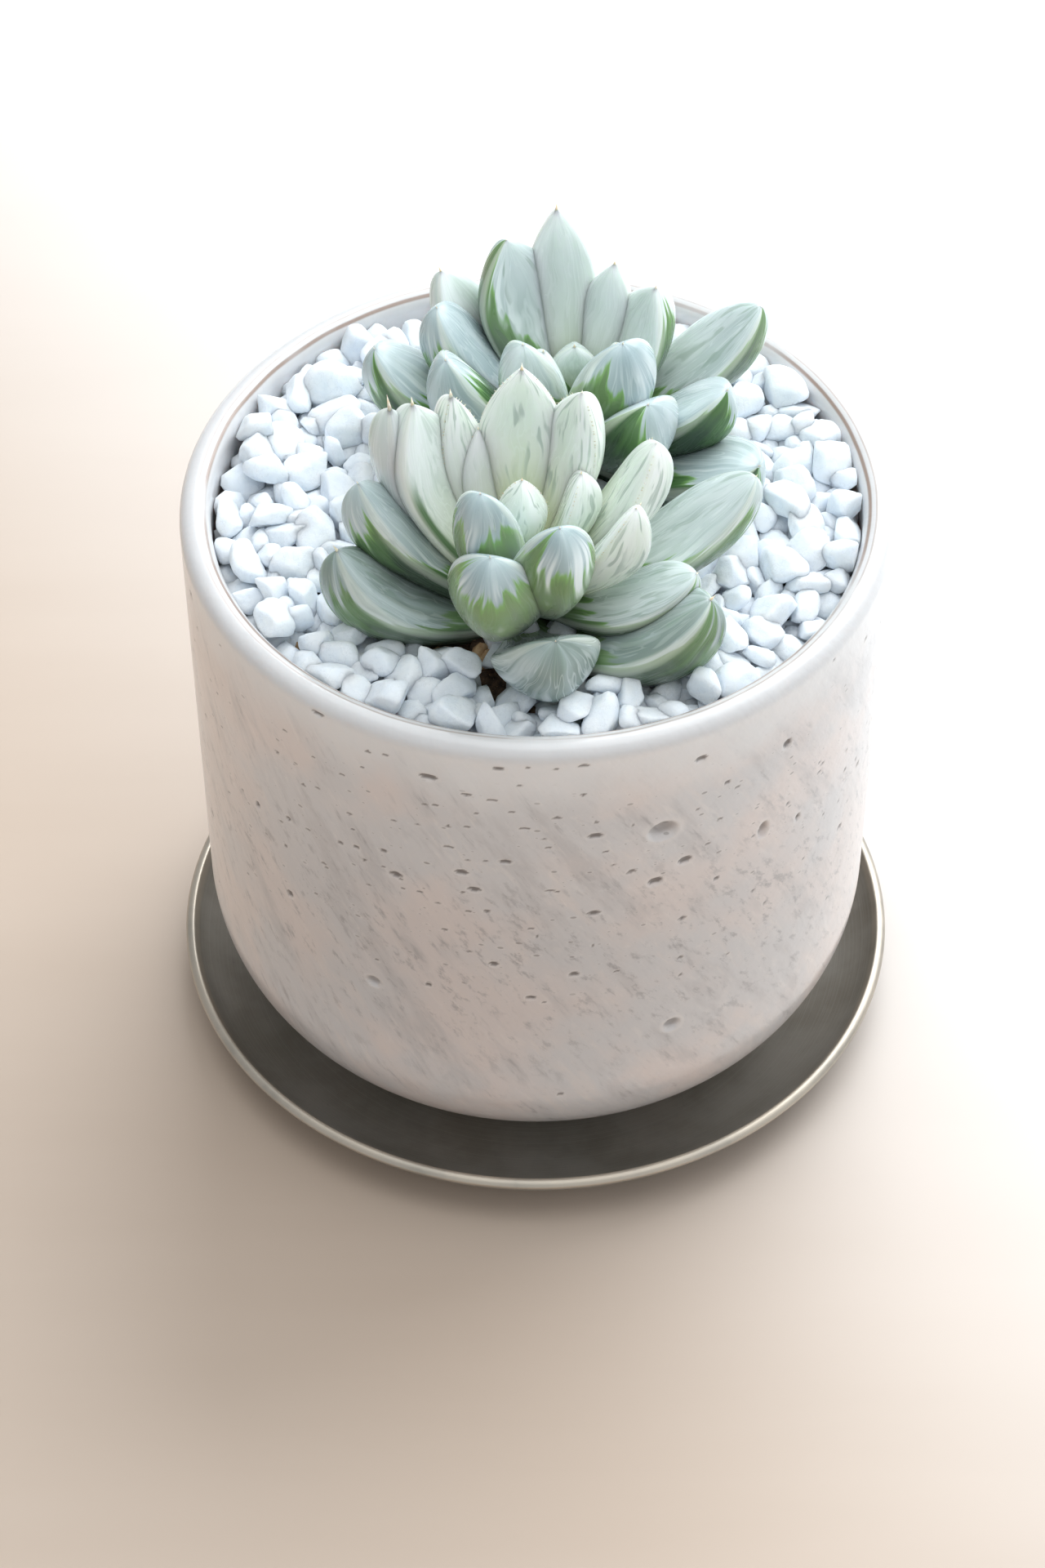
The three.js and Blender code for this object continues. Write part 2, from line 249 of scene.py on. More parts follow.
def full_turn(count, start=0.0):
    """Angles that divide a full turn evenly."""
    return np.linspace(start, start + 2 * np.pi, count, endpoint=False)


def grid_faces(rows, columns, closed=False):
    """The quads of a grid of points whose rows run round, and whose columns do so too if it is closed."""
    row, column = np.meshgrid(np.arange(rows - 1 + closed), np.arange(columns), indexing="ij")
    here, after = row * columns, (row + 1) % rows * columns
    beside = (column + 1) % columns
    quads = np.stack([here + column, here + beside, after + beside, after + column], -1)
    return quads.reshape(-1, 4).tolist()


def fan_faces(first, count, tip):
    """The triangles from a ring of points to a tip."""
    return [(first + i, first + (i + 1) % count, tip) for i in range(count)]


def tube_faces(rows, columns):
    """The quads of an open grid, and the two faces that close its first and last rows."""
    last = (rows - 1) * columns
    ends = [tuple(range(columns))[::-1], tuple(range(last, last + columns))]
    return grid_faces(rows, columns) + ends


class Shape:
    """Points and faces that are gathered into one mesh, with a few numbers for each point."""

    def __init__(self):
        self.points = []
        self.faces = []
        self.materials = []
        self.facts = {}
        self.count = 0

    def add(self, points, faces, material=0, **facts):
        self.points.append(points)
        first = self.count
        self.faces.extend([first + i for i in face] for face in faces)
        self.materials.extend([material] * len(faces))
        for name, values in facts.items():
            values = np.broadcast_to(np.asarray(values, float), (len(points), 3))
            self.facts.setdefault(name, []).append(values)
        self.count += len(points)

    def build(self, name, *materials):
        mesh = bpy.data.meshes.new(name)
        mesh.from_pydata((np.concatenate(self.points) * MM).tolist(), [], self.faces)
        for fact, values in self.facts.items():
            layer = mesh.attributes.new(fact, "FLOAT_VECTOR", "POINT")
            layer.data.foreach_set("vector", np.concatenate(values).astype(np.float32).ravel())
        for material in materials:
            mesh.materials.append(material)
        mesh.polygons.foreach_set("material_index", self.materials)
        mesh.polygons.foreach_set("use_smooth", [True] * len(mesh.polygons))
        mesh.update()
        return add_object(name, mesh)


def sphere_points(subdivisions):
    """The points and triangles of a geodesic sphere of radius 1."""
    mould = bmesh.new()
    bmesh.ops.create_icosphere(mould, subdivisions=subdivisions, radius=1)
    mould.verts.ensure_lookup_table()
    points = np.array([v.co for v in mould.verts])
    faces = np.array([[v.index for v in f.verts] for f in mould.faces])
    mould.free()
    return points, faces


def random_turn(random, most_tilt):
    """A random turn round Z and then a tilt towards a random direction, as a matrix."""
    yaw = random.uniform(0, 6.3)
    tilt = random.uniform(0, most_tilt)
    towards = random.uniform(0, 6.3)
    cy, sy = math.cos(yaw), math.sin(yaw)
    turn = np.array([[cy, -sy, 0], [sy, cy, 0], [0, 0, 1]])
    ct, st = math.cos(tilt), math.sin(tilt)
    x, y = math.cos(towards), math.sin(towards)
    lean = np.array([
        [ct + x * x * (1 - ct), x * y * (1 - ct), y * st],
        [x * y * (1 - ct), ct + y * y * (1 - ct), -x * st],
        [-y * st, x * st, ct],
    ])
    return lean @ turn


# ---------------- leaves


class Leaf(NamedTuple):
    """How one leaf grows, as in the CAD source, and how it is coloured."""

    azimuth: float
    rise: float
    tip_rise: float
    length: float
    width: float
    thickness: float
    blunt: float
    lift: float
    look: str
    green: tuple = (0, 0, 0)
    sweep: float = 0.0
    awn: float = 0.5


class Look(NamedTuple):
    """How strongly each thing shows in a leaf's colours."""

    cream: float = 0.0   # 0 is grey-blue, 1 is cream
    veins: float = 0.0   # white lines
    dashes: float = 0.0  # grey-green dashes
    stripe: float = 0.0  # one green stripe near the front margin
    # the darkness towards the root is partly the leaf's own deeper green and partly painted shade
    dark: float = 0.0    # how dark the green gets towards the root
    grey: float = 0.0    # how much of the skin is shaded grey-green


LOOKS = {
    "window": Look(veins=1.0, dashes=0.1, dark=0.45),
    "clear": Look(veins=0.9, dashes=0.1, dark=0.1),
    "flank": Look(cream=0.1, veins=0.9, dashes=0.2, dark=1.0),
    "shell": Look(cream=0.2, veins=1.3, dashes=0.6, dark=0.2, grey=0.9),
    "grey": Look(cream=0.1, veins=0.5, dashes=0.8, dark=0.7, grey=0.9),
    "pale": Look(cream=0.3, veins=0.8, dashes=0.8, dark=0.5, grey=0.1),
    "mint": Look(cream=0.55, veins=0.5, dashes=0.15, dark=0.3),
    "cream": Look(cream=0.9, veins=0.6, dashes=0.8),
    "striped": Look(cream=0.7, veins=0.4, dashes=0.4, stripe=1.0, dark=0.3),
}

# green: how far along the leaf its green reaches on the lower face and on the upper face, from 0 at the root
# to 1 at the tip, and how much further on one margin than on the middle.
FRONT_LEAVES = [
    # outer and middle leaves, from the front round to the right
    Leaf(12, 0, 72, 25, 13.8, 8, 0.5, 0, "shell", (0.55, 0.3, 0)),
    Leaf(-13, 31, 78, 28.5, 13.2, 8.5, 0.45, 3, "clear", (0.86, 0.5, 0)),
    Leaf(16, 36, 80, 30, 11.2, 8, 0.5, 5, "window", (0.85, 0.5, -0.04)),
    Leaf(-24, 50, 82, 28, 9.6, 7, 0.45, 6, "clear", (0.80, 0.5, 0)),
    Leaf(-88, 37, 61, 30, 10, 8.5, 0.75, 0.5, "flank", (0.72, 0.35, 0.10)),
    Leaf(-67, 8, 62, 29.5, 11, 9.5, 0.75, -1, "grey", (0.80, 0.30, 0.05), sweep=-30, awn=1.0),
    Leaf(52, 10, 42, 26, 11, 7, 0.6, 3, "pale", (0.85, 0.35, -0.1), sweep=40),
    Leaf(42, 3, 56, 32, 14, 10, 0.6, -0.8, "grey", (0.85, 0.40, -0.12), sweep=48, awn=1.0),
    Leaf(60, 35, 75, 27, 9, 6, 0.6, 4, "cream"),
    Leaf(92, 36, 75, 28, 9.5, 6.5, 0.6, 6, "cream"),
    Leaf(92, 10, 52, 34.5, 12, 7.5, 0.6, 3, "pale", (0.70, 0.35, -0.2), sweep=10),
    # upright inner leaves
    Leaf(180, 62, 80, 26, 11, 6, 0.85, 9, "cream", awn=1.0),
    Leaf(128, 58, 85, 26, 10, 6, 0.8, 8, "cream"),
    Leaf(84, 55, 85, 18, 8.5, 5, 0.7, 8, "cream"),
    Leaf(0, 80, 88, 17, 6.5, 5, 0.8, 9, "cream", (0.3, 0.3, 0)),
    Leaf(-142, 52, 80, 19, 9, 5, 0.8, 8, "cream", (0.3, 0.3, 0)),
    # slender leaves of the left side
    Leaf(-100, 48, 84, 33, 14, 7, 1, 3, "striped", sweep=-22, awn=1.2),
    Leaf(-104, 40, 84, 35, 10, 6.5, 1, 3, "mint", (0.45, 0, 0), awn=2.2),
    Leaf(-129, 55, 84, 29.5, 8, 6, 1, 4, "cream", awn=1.0),
    # short leaves towards the other rosette
    Leaf(150, 25, 70, 16, 9, 6, 0.6, 2, "mint", (0.7, 0.6, 0)),
    Leaf(-160, 25, 70, 16, 9, 6, 0.6, 2, "mint", (0.7, 0.6, 0)),
]

BACK_LEAVES = [
    # tall leaves of the far side
    Leaf(-170, 52, 78, 30, 9.5, 6.5, 0.9, 5, "mint", (0.5, 0.1, 0), awn=1.0),
    Leaf(-137, 48, 80, 27.5, 14, 6.5, 0.85, 5, "pale", (0.6, 0.38, 0.5), awn=0.5),
    Leaf(-117, 32, 64, 28.5, 12, 6.5, 0.8, 4, "mint", (0.5, 0.3, 0), awn=0.8),
    Leaf(152, 50, 78, 23, 8, 6, 0.9, 5, "mint", (0.5, 0.1, 0), awn=0.8),
    Leaf(114, 45, 82, 23.5, 11.5, 6, 0.8, 5, "mint", (0.7, 0.35, -0.2), awn=0.8),
    Leaf(100, 27, 51, 31, 12, 7.5, 0.65, 3, "pale", (0.85, 0.3, -0.2)),
    # blunt leaves of the near side, from the right round to the left
    Leaf(58, 8, 34, 29.5, 13, 10, 0.5, 1, "flank", (0.90, 0.45, -0.30)),
    Leaf(66, 25, 52, 26.5, 11, 8, 0.5, 3, "flank", (0.86, 0.35, -0.15)),
    Leaf(31, 30, 68, 26, 13.5, 8, 0.45, 3.5, "flank", (0.72, 0.42, -0.40)),
    Leaf(30, 48, 82, 25.5, 12.5, 8, 0.45, 6, "window", (0.74, 0.35, -0.12)),
    Leaf(-37, 50, 80, 24, 9.5, 7.5, 0.45, 6, "pale", (0.55, 0.3, 0.1)),
    Leaf(-63, 30, 68, 27.5, 12.5, 8, 0.5, 4, "flank", (0.62, 0.85, 0.0)),
    Leaf(-95, 35, 66, 27, 11, 8, 0.5, 4, "window", (0.72, 0.25, 0.15)),
    Leaf(-91, 10, 56, 31, 12.5, 9, 0.5, 2, "flank", (0.84, 0.60, 0.10)),
    # young leaves in the heart
    Leaf(70, 62, 85, 15, 8, 5, 0.8, 7, "mint", (0.4, 0.3, 0)),
    Leaf(-60, 66, 86, 14, 8, 5, 0.8, 7, "mint", (0.4, 0.3, 0)),
    Leaf(180, 75, 88, 9, 6.5, 4.5, 0.8, 8, "mint", (0.4, 0.3, 0)),
    # low leaves behind the tall ones
    Leaf(176, 14, 50, 20, 11, 7, 0.55, 2, "pale", (0.9, 0.5, 0)),
    Leaf(142, 16, 50, 17, 10.5, 7, 0.55, 2, "window", (0.9, 0.6, 0)),
    Leaf(-148, 16, 50, 18, 10.5, 7, 0.55, 2, "window", (0.9, 0.6, 0)),
]

LEAF_RINGS = 60
LEAF_SIDES = 52
AWN_SIDES = 8
TOOTH_SPACING = 0.75
TOOTH_LENGTH = 0.42
TOOTH_RADIUS = 0.09
TOOTH_SIDES = 4
STEM_SIDES = 24
CENTRELINE_STEPS = 16
KEEL_ROUNDING = 0.3


def level_directions(azimuth):
    """The level directions away from the plant's middle and across, for an azimuth in degrees."""
    x, y = math.sin(math.radians(azimuth)), -math.cos(math.radians(azimuth))
    return np.array([x, y, 0]), np.array([-y, x, 0])


def leaf_direction(leaf, t):
    """Which way the leaf runs at t along it."""
    outward, sideways = level_directions(leaf.azimuth)
    slope = np.radians(leaf.rise + (leaf.tip_rise - leaf.rise) * t)[..., None]
    sweep = np.radians(leaf.sweep * t)[..., None]
    level = outward * np.cos(sweep) + sideways * np.sin(sweep)
    return level * np.cos(slope) + np.array([0, 0, 1]) * np.sin(slope)


def leaf_stations(leaf, centre, s):
    """The centreline's points at s along the leaf, and its directions along, across and upwards there."""
    start = np.array([*centre, PLANT_Z + leaf.lift]) + level_directions(leaf.azimuth)[0] * ROOT_OFFSET
    middles = (np.arange(CENTRELINE_STEPS) + 0.5) / CENTRELINE_STEPS * s[:, None]
    reach = leaf_direction(leaf, middles).mean(1) * (leaf.length * s)[:, None]
    along = leaf_direction(leaf, s)
    across = unit(np.stack([-along[:, 1], along[:, 0], np.zeros(len(s))], 1))
    return start + reach, along, across, np.cross(along, across)


def leaf_form(s, root_size, widest, blunt):
    """Grows from its size at the root to 1 at the widest place, and closes to 0 at the tip."""
    opening = root_size + (1 - root_size) * smooth_step(s / widest)
    closing = np.maximum(0, 1 - ((s - widest) / (1 - widest)) ** 2) ** blunt
    return np.where(s < widest, opening, closing)


def leaf_size(leaf, s):
    """The leaf's thickness and its half width at s along it."""
    depth = leaf.thickness * leaf_form(s, 0.55, 0.7, 0.55)
    return depth, leaf.width / 2 * leaf_form(s, 0.42, 0.62, leaf.blunt)


def leaf_section(leaf, s, angle):
    """Half width and height of the leaf's skin at s along it and at an angle round its section."""
    side = np.cos(angle)
    rise = np.sin(angle)
    depth, half = leaf_size(leaf, s)
    upper = 0.28 * depth * rise
    keel = 1 - np.sqrt(side**2 + KEEL_ROUNDING**2) + KEEL_ROUNDING * (1 - np.abs(side))
    lower = -0.72 * depth * (0.65 * np.abs(rise) + 0.35 * np.maximum(keel, 0))
    return half * side, np.where(rise >= 0, upper, lower) + 0.1 * half * side**2


def cone(base, tip, radius, sides):
    """The points and triangles of a thin spike from base to tip."""
    along = unit(tip - base)
    helper = np.array([0, 0, 1.0]) if abs(along[2]) < 0.9 else np.array([1.0, 0, 0])
    first = unit(np.cross(along, helper))
    second = np.cross(along, first)
    angle = full_turn(sides)
    ring = base + radius * (np.outer(np.cos(angle), first) + np.outer(np.sin(angle), second))
    return np.vstack([ring, tip]), [*fan_faces(0, sides, sides), tuple(range(sides))[::-1]]


def add_leaf(shape, leaf, centre, seed):
    """One leaf with its awn, and with teeth on its margins where it is cream."""
    random = np.random.default_rng(seed)
    reach = (leaf.length - leaf.awn) / leaf.length
    s = 1 - (1 - np.arange(LEAF_RINGS) / LEAF_RINGS) ** 1.7
    angle = full_turn(LEAF_SIDES, -np.pi)
    place, along, across, upper = leaf_stations(leaf, centre, s * reach)
    wide, high = leaf_section(leaf, s[:, None], angle[None, :])
    wave = 1 + 0.035 * np.sin(3.1 * s[:, None] * np.pi + seed) * np.cos(angle + seed)[None, :]
    sideways = across[:, None] * (wide * wave)[..., None]
    points = place[:, None] + sideways + upper[:, None] * (high * wave)[..., None]
    tip = leaf_stations(leaf, centre, np.array([reach]))[0][0]
    points = np.vstack([points.reshape(-1, 3), tip])
    last = (LEAF_RINGS - 1) * LEAF_SIDES
    faces = grid_faces(LEAF_RINGS, LEAF_SIDES)
    faces += fan_faces(last, LEAF_SIDES, len(points) - 1)
    faces.append(tuple(range(LEAF_SIDES))[::-1])
    section = np.zeros((len(points), 3))
    section[:-1, 0] = np.tile(np.cos(angle), LEAF_RINGS)
    section[:-1, 1] = np.tile(np.sin(angle), LEAF_RINGS)
    section[:-1, 2] = np.repeat(s, LEAF_SIDES)
    section[-1, 2] = 1
    look = LOOKS[leaf.look]
    facts = dict(
        offset=random.uniform(-40, 40, 3),
        tone=(look.cream, look.dashes, look.veins),
        green=leaf.green,
        stripe=(look.stripe, look.dark, look.grey),
    )
    shape.add(points, faces, section=section, **facts)
    add_spikes(shape, leaf, centre, reach, random, look.cream > 0.7, facts)


def add_spikes(shape, leaf, centre, reach, random, toothed, facts):
    """The awn at the leaf's tip and the teeth along its margins."""
    ends = leaf_stations(leaf, centre, np.array([reach * 0.97, 1.0]))[0]
    spikes = [(ends[0], ends[1], 0.12 + 0.25 * min(leaf.awn, 1), AWN_SIDES)]
    teeth = int(leaf.length / TOOTH_SPACING) if toothed else 0
    for i in range(teeth):
        s = np.array([0.25 + 0.72 * (i + random.random()) / teeth])
        place, along, across, upper = leaf_stations(leaf, centre, s * reach)
        for side in (-1, 1):
            wide, high = leaf_section(leaf, s, np.array([0 if side > 0 else np.pi]))
            root = place[0] + across[0] * wide[0] * 0.99 + upper[0] * high[0]
            lean = unit(across[0] * side + along[0] * random.uniform(0.3, 1.0))
            length = TOOTH_LENGTH * random.uniform(0.5, 1.1)
            spikes.append((root, root + lean * length, TOOTH_RADIUS, TOOTH_SIDES))
    for base, end, radius, sides in spikes:
        points, faces = cone(base, end, radius, sides)
        shape.add(points, faces, 1, section=(1, 0, 0.99), **facts)


def add_stem(shape, centre):
    heights = np.array([PLANT_Z - STEM_DEPTH, PLANT_Z - 6, PLANT_Z, PLANT_Z + STEM_RISE])
    radii = STEM_RADIUS * np.array([1, 0.95, 0.88, 0.8])
    angle = full_turn(STEM_SIDES)
    ring = np.stack([np.cos(angle), np.sin(angle)], 1)
    points = np.concatenate([
        np.column_stack([ring * radius + np.array(centre), np.full(STEM_SIDES, z)])
        for radius, z in zip(radii, heights)
    ])
    faces = tube_faces(len(heights), STEM_SIDES)
    shape.add(
        points, faces, section=(0, -1, 0.05), offset=(0, 0, 0), tone=(0.1, 0, 0), green=(0.9, 0.9, 0),
        stripe=(0, 0.5, 0),
    )


VEIN_WANDER = 0.6


def leaf_material(name, warmth):
    """Grey-blue windows with white veins between fingers of green, and cream leaves with dashes."""
    t = Shading(name)
    section = t.attribute("section")
    side, rise, along = t.parts(section)
    cream, dashes, veins = t.parts(t.attribute("tone"))
    low, up, tilt = t.parts(t.attribute("green"))
    stripe, dark, grey = t.parts(t.attribute("stripe"))
    offset = t.attribute("offset")

    # what runs along the leaf wanders a little from side to side
    wander = t.warp(t.vector("ADD", t.vector("MULTIPLY", section, (1, 1, 4)), offset), 0.9, VEIN_WANDER)
    wandered = t.vector("ADD", section, wander)

    def fibres(stretch):
        return t.vector("ADD", t.vector("MULTIPLY", wandered, (1, 1, stretch)), offset)

    # the skin: soft clouds, yellower towards the root on cream leaves, with grey-green shades on others
    clouds = t.noise(fibres(1.8), 1.1, 2)
    shades = t.noise(fibres(0.7), 2.2, 2)
    cloudy = t.smooth(clouds, 0.35, 0.65)
    window = t.blend(cloudy, (0.36, 0.46, 0.48), (0.50, 0.60, 0.615))
    milk = t.blend(cloudy, (0.82, 0.89, 0.80), (0.93, 0.97, 0.92))
    milk = t.layers(
        milk,
        (t.smooth(along, 0.80, 0.30), 0.7, (0.80, 0.86, 0.62)),
        (t.smooth(along, 0.50, 0.15), 0.8, (0.70, 0.76, 0.38)),
    )
    skin = t.blend(cream, window, milk)
    shaded = t.plus(0.25, t.times(t.smooth(shades, 0.40, 0.60), 0.55))
    skin = t.blend(t.times(grey, shaded), skin, (0.17, 0.235, 0.195))

    # where the green ends: it runs up in fingers between the white veins
    lines = t.noise(fibres(0.16), 2.9, 2, 0.55)
    ragged = t.minus(t.noise(fibres(0.4), 5.0, 2, 0.6), 0.5)
    face = t.smooth(rise, -0.45, 0.45)
    level = t.plus(low, t.times(face, t.minus(up, low)), t.times(side, tilt), t.times(side, side, 0.05))
    level = t.plus(level, t.times(t.minus(0.5, lines), 0.45), t.times(ragged, 0.14))
    deep = t.minus(level, along)
    green_leaf = t.smooth(level, 0.1, 0.3)

    # white veins, brightest where they meet the green, and fine pale lines beside them
    vein = t.smooth(lines, 0.51, 0.64)
    thread = t.smooth(t.apart(t.noise(fibres(0.35), 5.5, 1), 0.5), 0.045, 0.0)
    near = t.times(t.smooth(deep, -0.38, -0.02), green_leaf)
    strength = t.plus(0.3, t.times(near, 0.9))
    white = t.math("MAXIMUM", t.times(vein, strength), t.times(thread, 0.4))
    ends = t.times(t.smooth(along, 0.12, 0.5), t.smooth(along, 0.995, 0.88))
    white = t.times(white, veins, ends)
    skin = t.blend(t.times(white, 0.78), skin, (0.84, 0.90, 0.89))

    # grey-green dashes
    patches = t.smooth(t.noise(fibres(1.2), 1.7, 1), 0.42, 0.58)
    dash = t.smooth(t.noise(fibres(1.0), 5.2, 1), 0.52, 0.63)
    dash = t.times(dash, patches, dashes, t.smooth(along, 0.3, 0.5))
    skin = t.blend(t.times(dash, 0.66), skin, (0.26, 0.36, 0.30))

    # the green: vivid at its edge, then deeper, and grey-green or dark towards the root; the dark is partly
    # the leaf's own deeper green and partly painted shade, where the rosette shades the root
    flank = t.blend(dark, (0.25, 0.32, 0.24), (0.045, 0.085, 0.05))
    middle_green = t.blend(dark, (0.23, 0.36, 0.16), (0.10, 0.21, 0.075))
    edge_green = t.blend(t.times(grey, 0.8), (0.24, 0.46, 0.14), (0.19, 0.27, 0.17))
    leaf_green = t.blend(t.smooth(deep, 0.0, 0.07), edge_green, middle_green)
    leaf_green = t.blend(t.smooth(deep, 0.07, 0.32), leaf_green, flank)
    green = t.smooth(deep, -0.018, 0.025)
    spared = t.times(vein, veins, t.smooth(deep, 0.15, 0.0), t.minus(1.0, t.times(dark, 0.7)))
    green = t.times(green, t.minus(1.0, t.times(spared, 0.9)))
    skin = t.blend(green, skin, leaf_green)

    # one green stripe on some leaves, just above the front margin
    bend = t.times(t.minus(clouds, 0.5), 0.25)
    beside = t.apart(t.plus(rise, bend), 0.3)
    band = t.times(t.smooth(beside, 0.34, 0.14), t.smooth(along, 0.80, 0.60), stripe)
    band = t.times(band, t.smooth(side, 0.2, 0.5))
    skin = t.blend(t.times(band, 0.95), skin, (0.09, 0.19, 0.075))

    # thin pale margins
    margin = t.times(t.smooth(t.math("ABSOLUTE", side), 0.94, 0.998), 0.4)
    skin = t.blend(margin, skin, (0.80, 0.84, 0.74))
    skin = t.blend(warmth, skin, (0.88, 0.86, 0.70))

    relief = t.plus(t.times(lines, 0.6), t.times(shades, 0.4))
    return t.finish(
        Base_Color=skin,
        Roughness=t.plus(0.27, t.times(white, 0.16)),
        Normal=t.bump(relief, 0.25, 0.5),
        Subsurface_Weight=0.6,
        Subsurface_Radius=(1.0, 1.1, 0.95),
        Subsurface_Scale=0.0026,
        Coat_Weight=0.15,
        Coat_Roughness=0.2,
        IOR=1.42,
    )


def awn_material():
    t = Shading("awn")
    grain = t.noise(t.place(), 1.4, 2)
    colour = t.blend(t.smooth(grain, 0.3, 0.7), (0.74, 0.62, 0.40), (0.86, 0.86, 0.74))
    return t.finish(Base_Color=colour, Roughness=0.5, Subsurface_Weight=0.2, Subsurface_Scale=0.0005)


def make_rosette(name, leaves, centre, seed, warmth, slot):
    shape = Shape()
    add_stem(shape, centre)
    for number, leaf in enumerate(leaves):
        add_leaf(shape, leaf, centre, seed + number)
    piece = shape.build(name + "_leaves", leaf_material(slot, warmth), awn_material())
    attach(piece, "root")
    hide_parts(name)


make_rosette("front_rosette", FRONT_LEAVES, FRONT_CENTRE, 100, 0.03, "front_leaf")
make_rosette("back_rosette", BACK_LEAVES, BACK_CENTRE, 200, 0.0, "back_leaf")

# ---------------- stone chips

CHIP_COUNT = 1150
CHIP_TOP_Z = 89.4     # what comes to rest higher lies on a leaf, and is left out
SMALLEST_CHIP = 1.05  # the size of a chip is about its radius
LARGEST_CHIP = 2.9
CHIP_FORM = np.array([1.30, 1.0, 0.80])
CRUMB_FORM = np.array([1.2, 1.0, 0.8])
POUR_STEPS = 420
FALL_PER_STEP = 0.09
STEPS_PER_SEARCH = 10
CHIP_SHARE = 0.93  # how near to each other chips come to rest, as a share of their sizes
CHIP_PUSH = 0.28
LEAF_PUSH = 0.35
LEAF_OVERLAP = 0.5

SOIL_HEAP = 2.6
PLANT_HEAP = 1.4
HEAP_SPREAD = 14.0

# Bare places in the bed, where the soil shows: x, y and the radius that the chips keep clear of.
SOIL_GAPS = [
    (-29, -22, 1.2), (-6, -30, 2.6), (-9, -24.5, 3.0), (-17, -28, 1.6), (-21, -32, 1.0), (4, -35, 1.2),
    (-26, 9.5, 1.5), (-16, 31.5, 1.8), (27, 24, 1.2), (23, -8.5, 1.2), (37, 0, 1.4),
]


def ground_z(x, y):
    """The height of the potting mix, which is heaped below the chips and a little more round the plants."""
    heap = 0
    for centre in (FRONT_CENTRE, BACK_CENTRE):
        heap = np.maximum(heap, np.exp(-((x - centre[0]) ** 2 + (y - centre[1]) ** 2) / HEAP_SPREAD**2))
    wave = 0.5 + 0.5 * np.sin(x * 0.31 + 1.0) * np.sin(y * 0.27 + 0.4)
    edge = smooth_step((INNER_RADIUS - np.hypot(x, y)) / 3)
    return SOIL_Z + edge * (SOIL_HEAP * (0.7 + 0.3 * wave) + PLANT_HEAP * heap)


def keep_clear():
    """Balls along the leaves and stems and in the bare places, that the chips keep clear of."""
    balls = []
    s = np.linspace(0.04, 0.94, 9)
    for leaves, centre in ((FRONT_LEAVES, FRONT_CENTRE), (BACK_LEAVES, BACK_CENTRE)):
        for leaf in leaves:
            place, along, across, upper = leaf_stations(leaf, centre, s)
            depth, half = leaf_size(leaf, s)
            radius = 0.42 * depth
            middle = place - upper * (0.2 * depth)[:, None]
            out = across * np.maximum(half - radius, 0)[:, None] * 0.8
            for shift in (-1, 0, 1):
                balls.append(np.column_stack([middle + out * shift, radius]))
        balls += [(*centre, z, STEM_RADIUS) for z in np.linspace(SOIL_Z, PLANT_Z + 4, 5)]
    for x, y, radius in SOIL_GAPS:
        balls += [(x, y, z, radius) for z in np.arange(SOIL_Z, CHIP_TOP_Z, 1.5)]
    return np.vstack(balls)


def near_pairs(place, others, reach):
    """Which of one set of points lie near which of another set."""
    distance = np.linalg.norm(place[:, None] - others[None], axis=2)
    return np.nonzero(distance < reach)


def push_apart(place, first, second, others, room, share):
    """Moves the first points of close pairs away from the others, until they have their room."""
    gap = place[first] - others[second]
    distance = np.linalg.norm(gap, axis=1) + 1e-9
    push = gap * (np.maximum(0, room - distance) / distance * share)[:, None]
    moved = place.copy()
    for axis in range(3):
        moved[:, axis] += np.bincount(first, push[:, axis], len(place))
    return moved


def pour_chips(count, sizes, random, obstacles):
    """Places of balls that fall on the soil beside the plant and come to rest against each other."""
    angle = random.uniform(0, 2 * np.pi, count)
    radius = (INNER_RADIUS - 4) * np.sqrt(random.uniform(0, 1, count))
    level = SOIL_Z + 3 + 16 * random.uniform(0, 1, count)
    place = np.column_stack([radius * np.cos(angle), radius * np.sin(angle), level])
    for step in range(POUR_STEPS):
        if step % STEPS_PER_SEARCH == 0:
            first, second = near_pairs(place, place, 2.3 * sizes.max())
            first, second = first[first != second], second[first != second]
            leaf_first, leaf_second = near_pairs(place, obstacles[:, :3], 2.6 * sizes.max())
        place[:, 2] -= FALL_PER_STEP
        for _ in range(2):
            room = (sizes[first] + sizes[second]) * CHIP_SHARE
            place = push_apart(place, first, second, place, room, CHIP_PUSH)
            room = sizes[leaf_first] + obstacles[leaf_second, 3] - LEAF_OVERLAP
            place = push_apart(place, leaf_first, leaf_second, obstacles[:, :3], room, LEAF_PUSH)
        out = np.hypot(place[:, 0], place[:, 1])
        limit = INNER_RADIUS - 0.2 - sizes * 0.92
        place[:, :2] *= np.minimum(1, limit / out)[:, None]
        place[:, 2] = np.maximum(place[:, 2], ground_z(place[:, 0], place[:, 1]) + sizes * 0.7)
    return place


def cut_stone(random, sphere, planes, softness):
    """A stone as a ball that is cut by planes and worn at its edges: its points, about 1 in radius."""
    normals = unit(random.normal(size=(planes, 3)))
    distances = random.uniform(0.62, 1.05, planes)
    reach = np.maximum(sphere @ normals.T / distances, 0) ** softness
    radius = np.minimum(reach.sum(1) ** (-1 / softness), 1.3)
    turns = random.uniform(0, 2 * np.pi, 4)
    ripple = np.sin(7 * sphere[:, 0] + turns[0]) * np.sin(6 * sphere[:, 1] + turns[1])
    ripple += np.sin(9 * sphere[:, 2] + turns[2]) * np.sin(5 * sphere[:, 0] + turns[3])
    return sphere * (radius * (1 + 0.018 * ripple))[:, None]


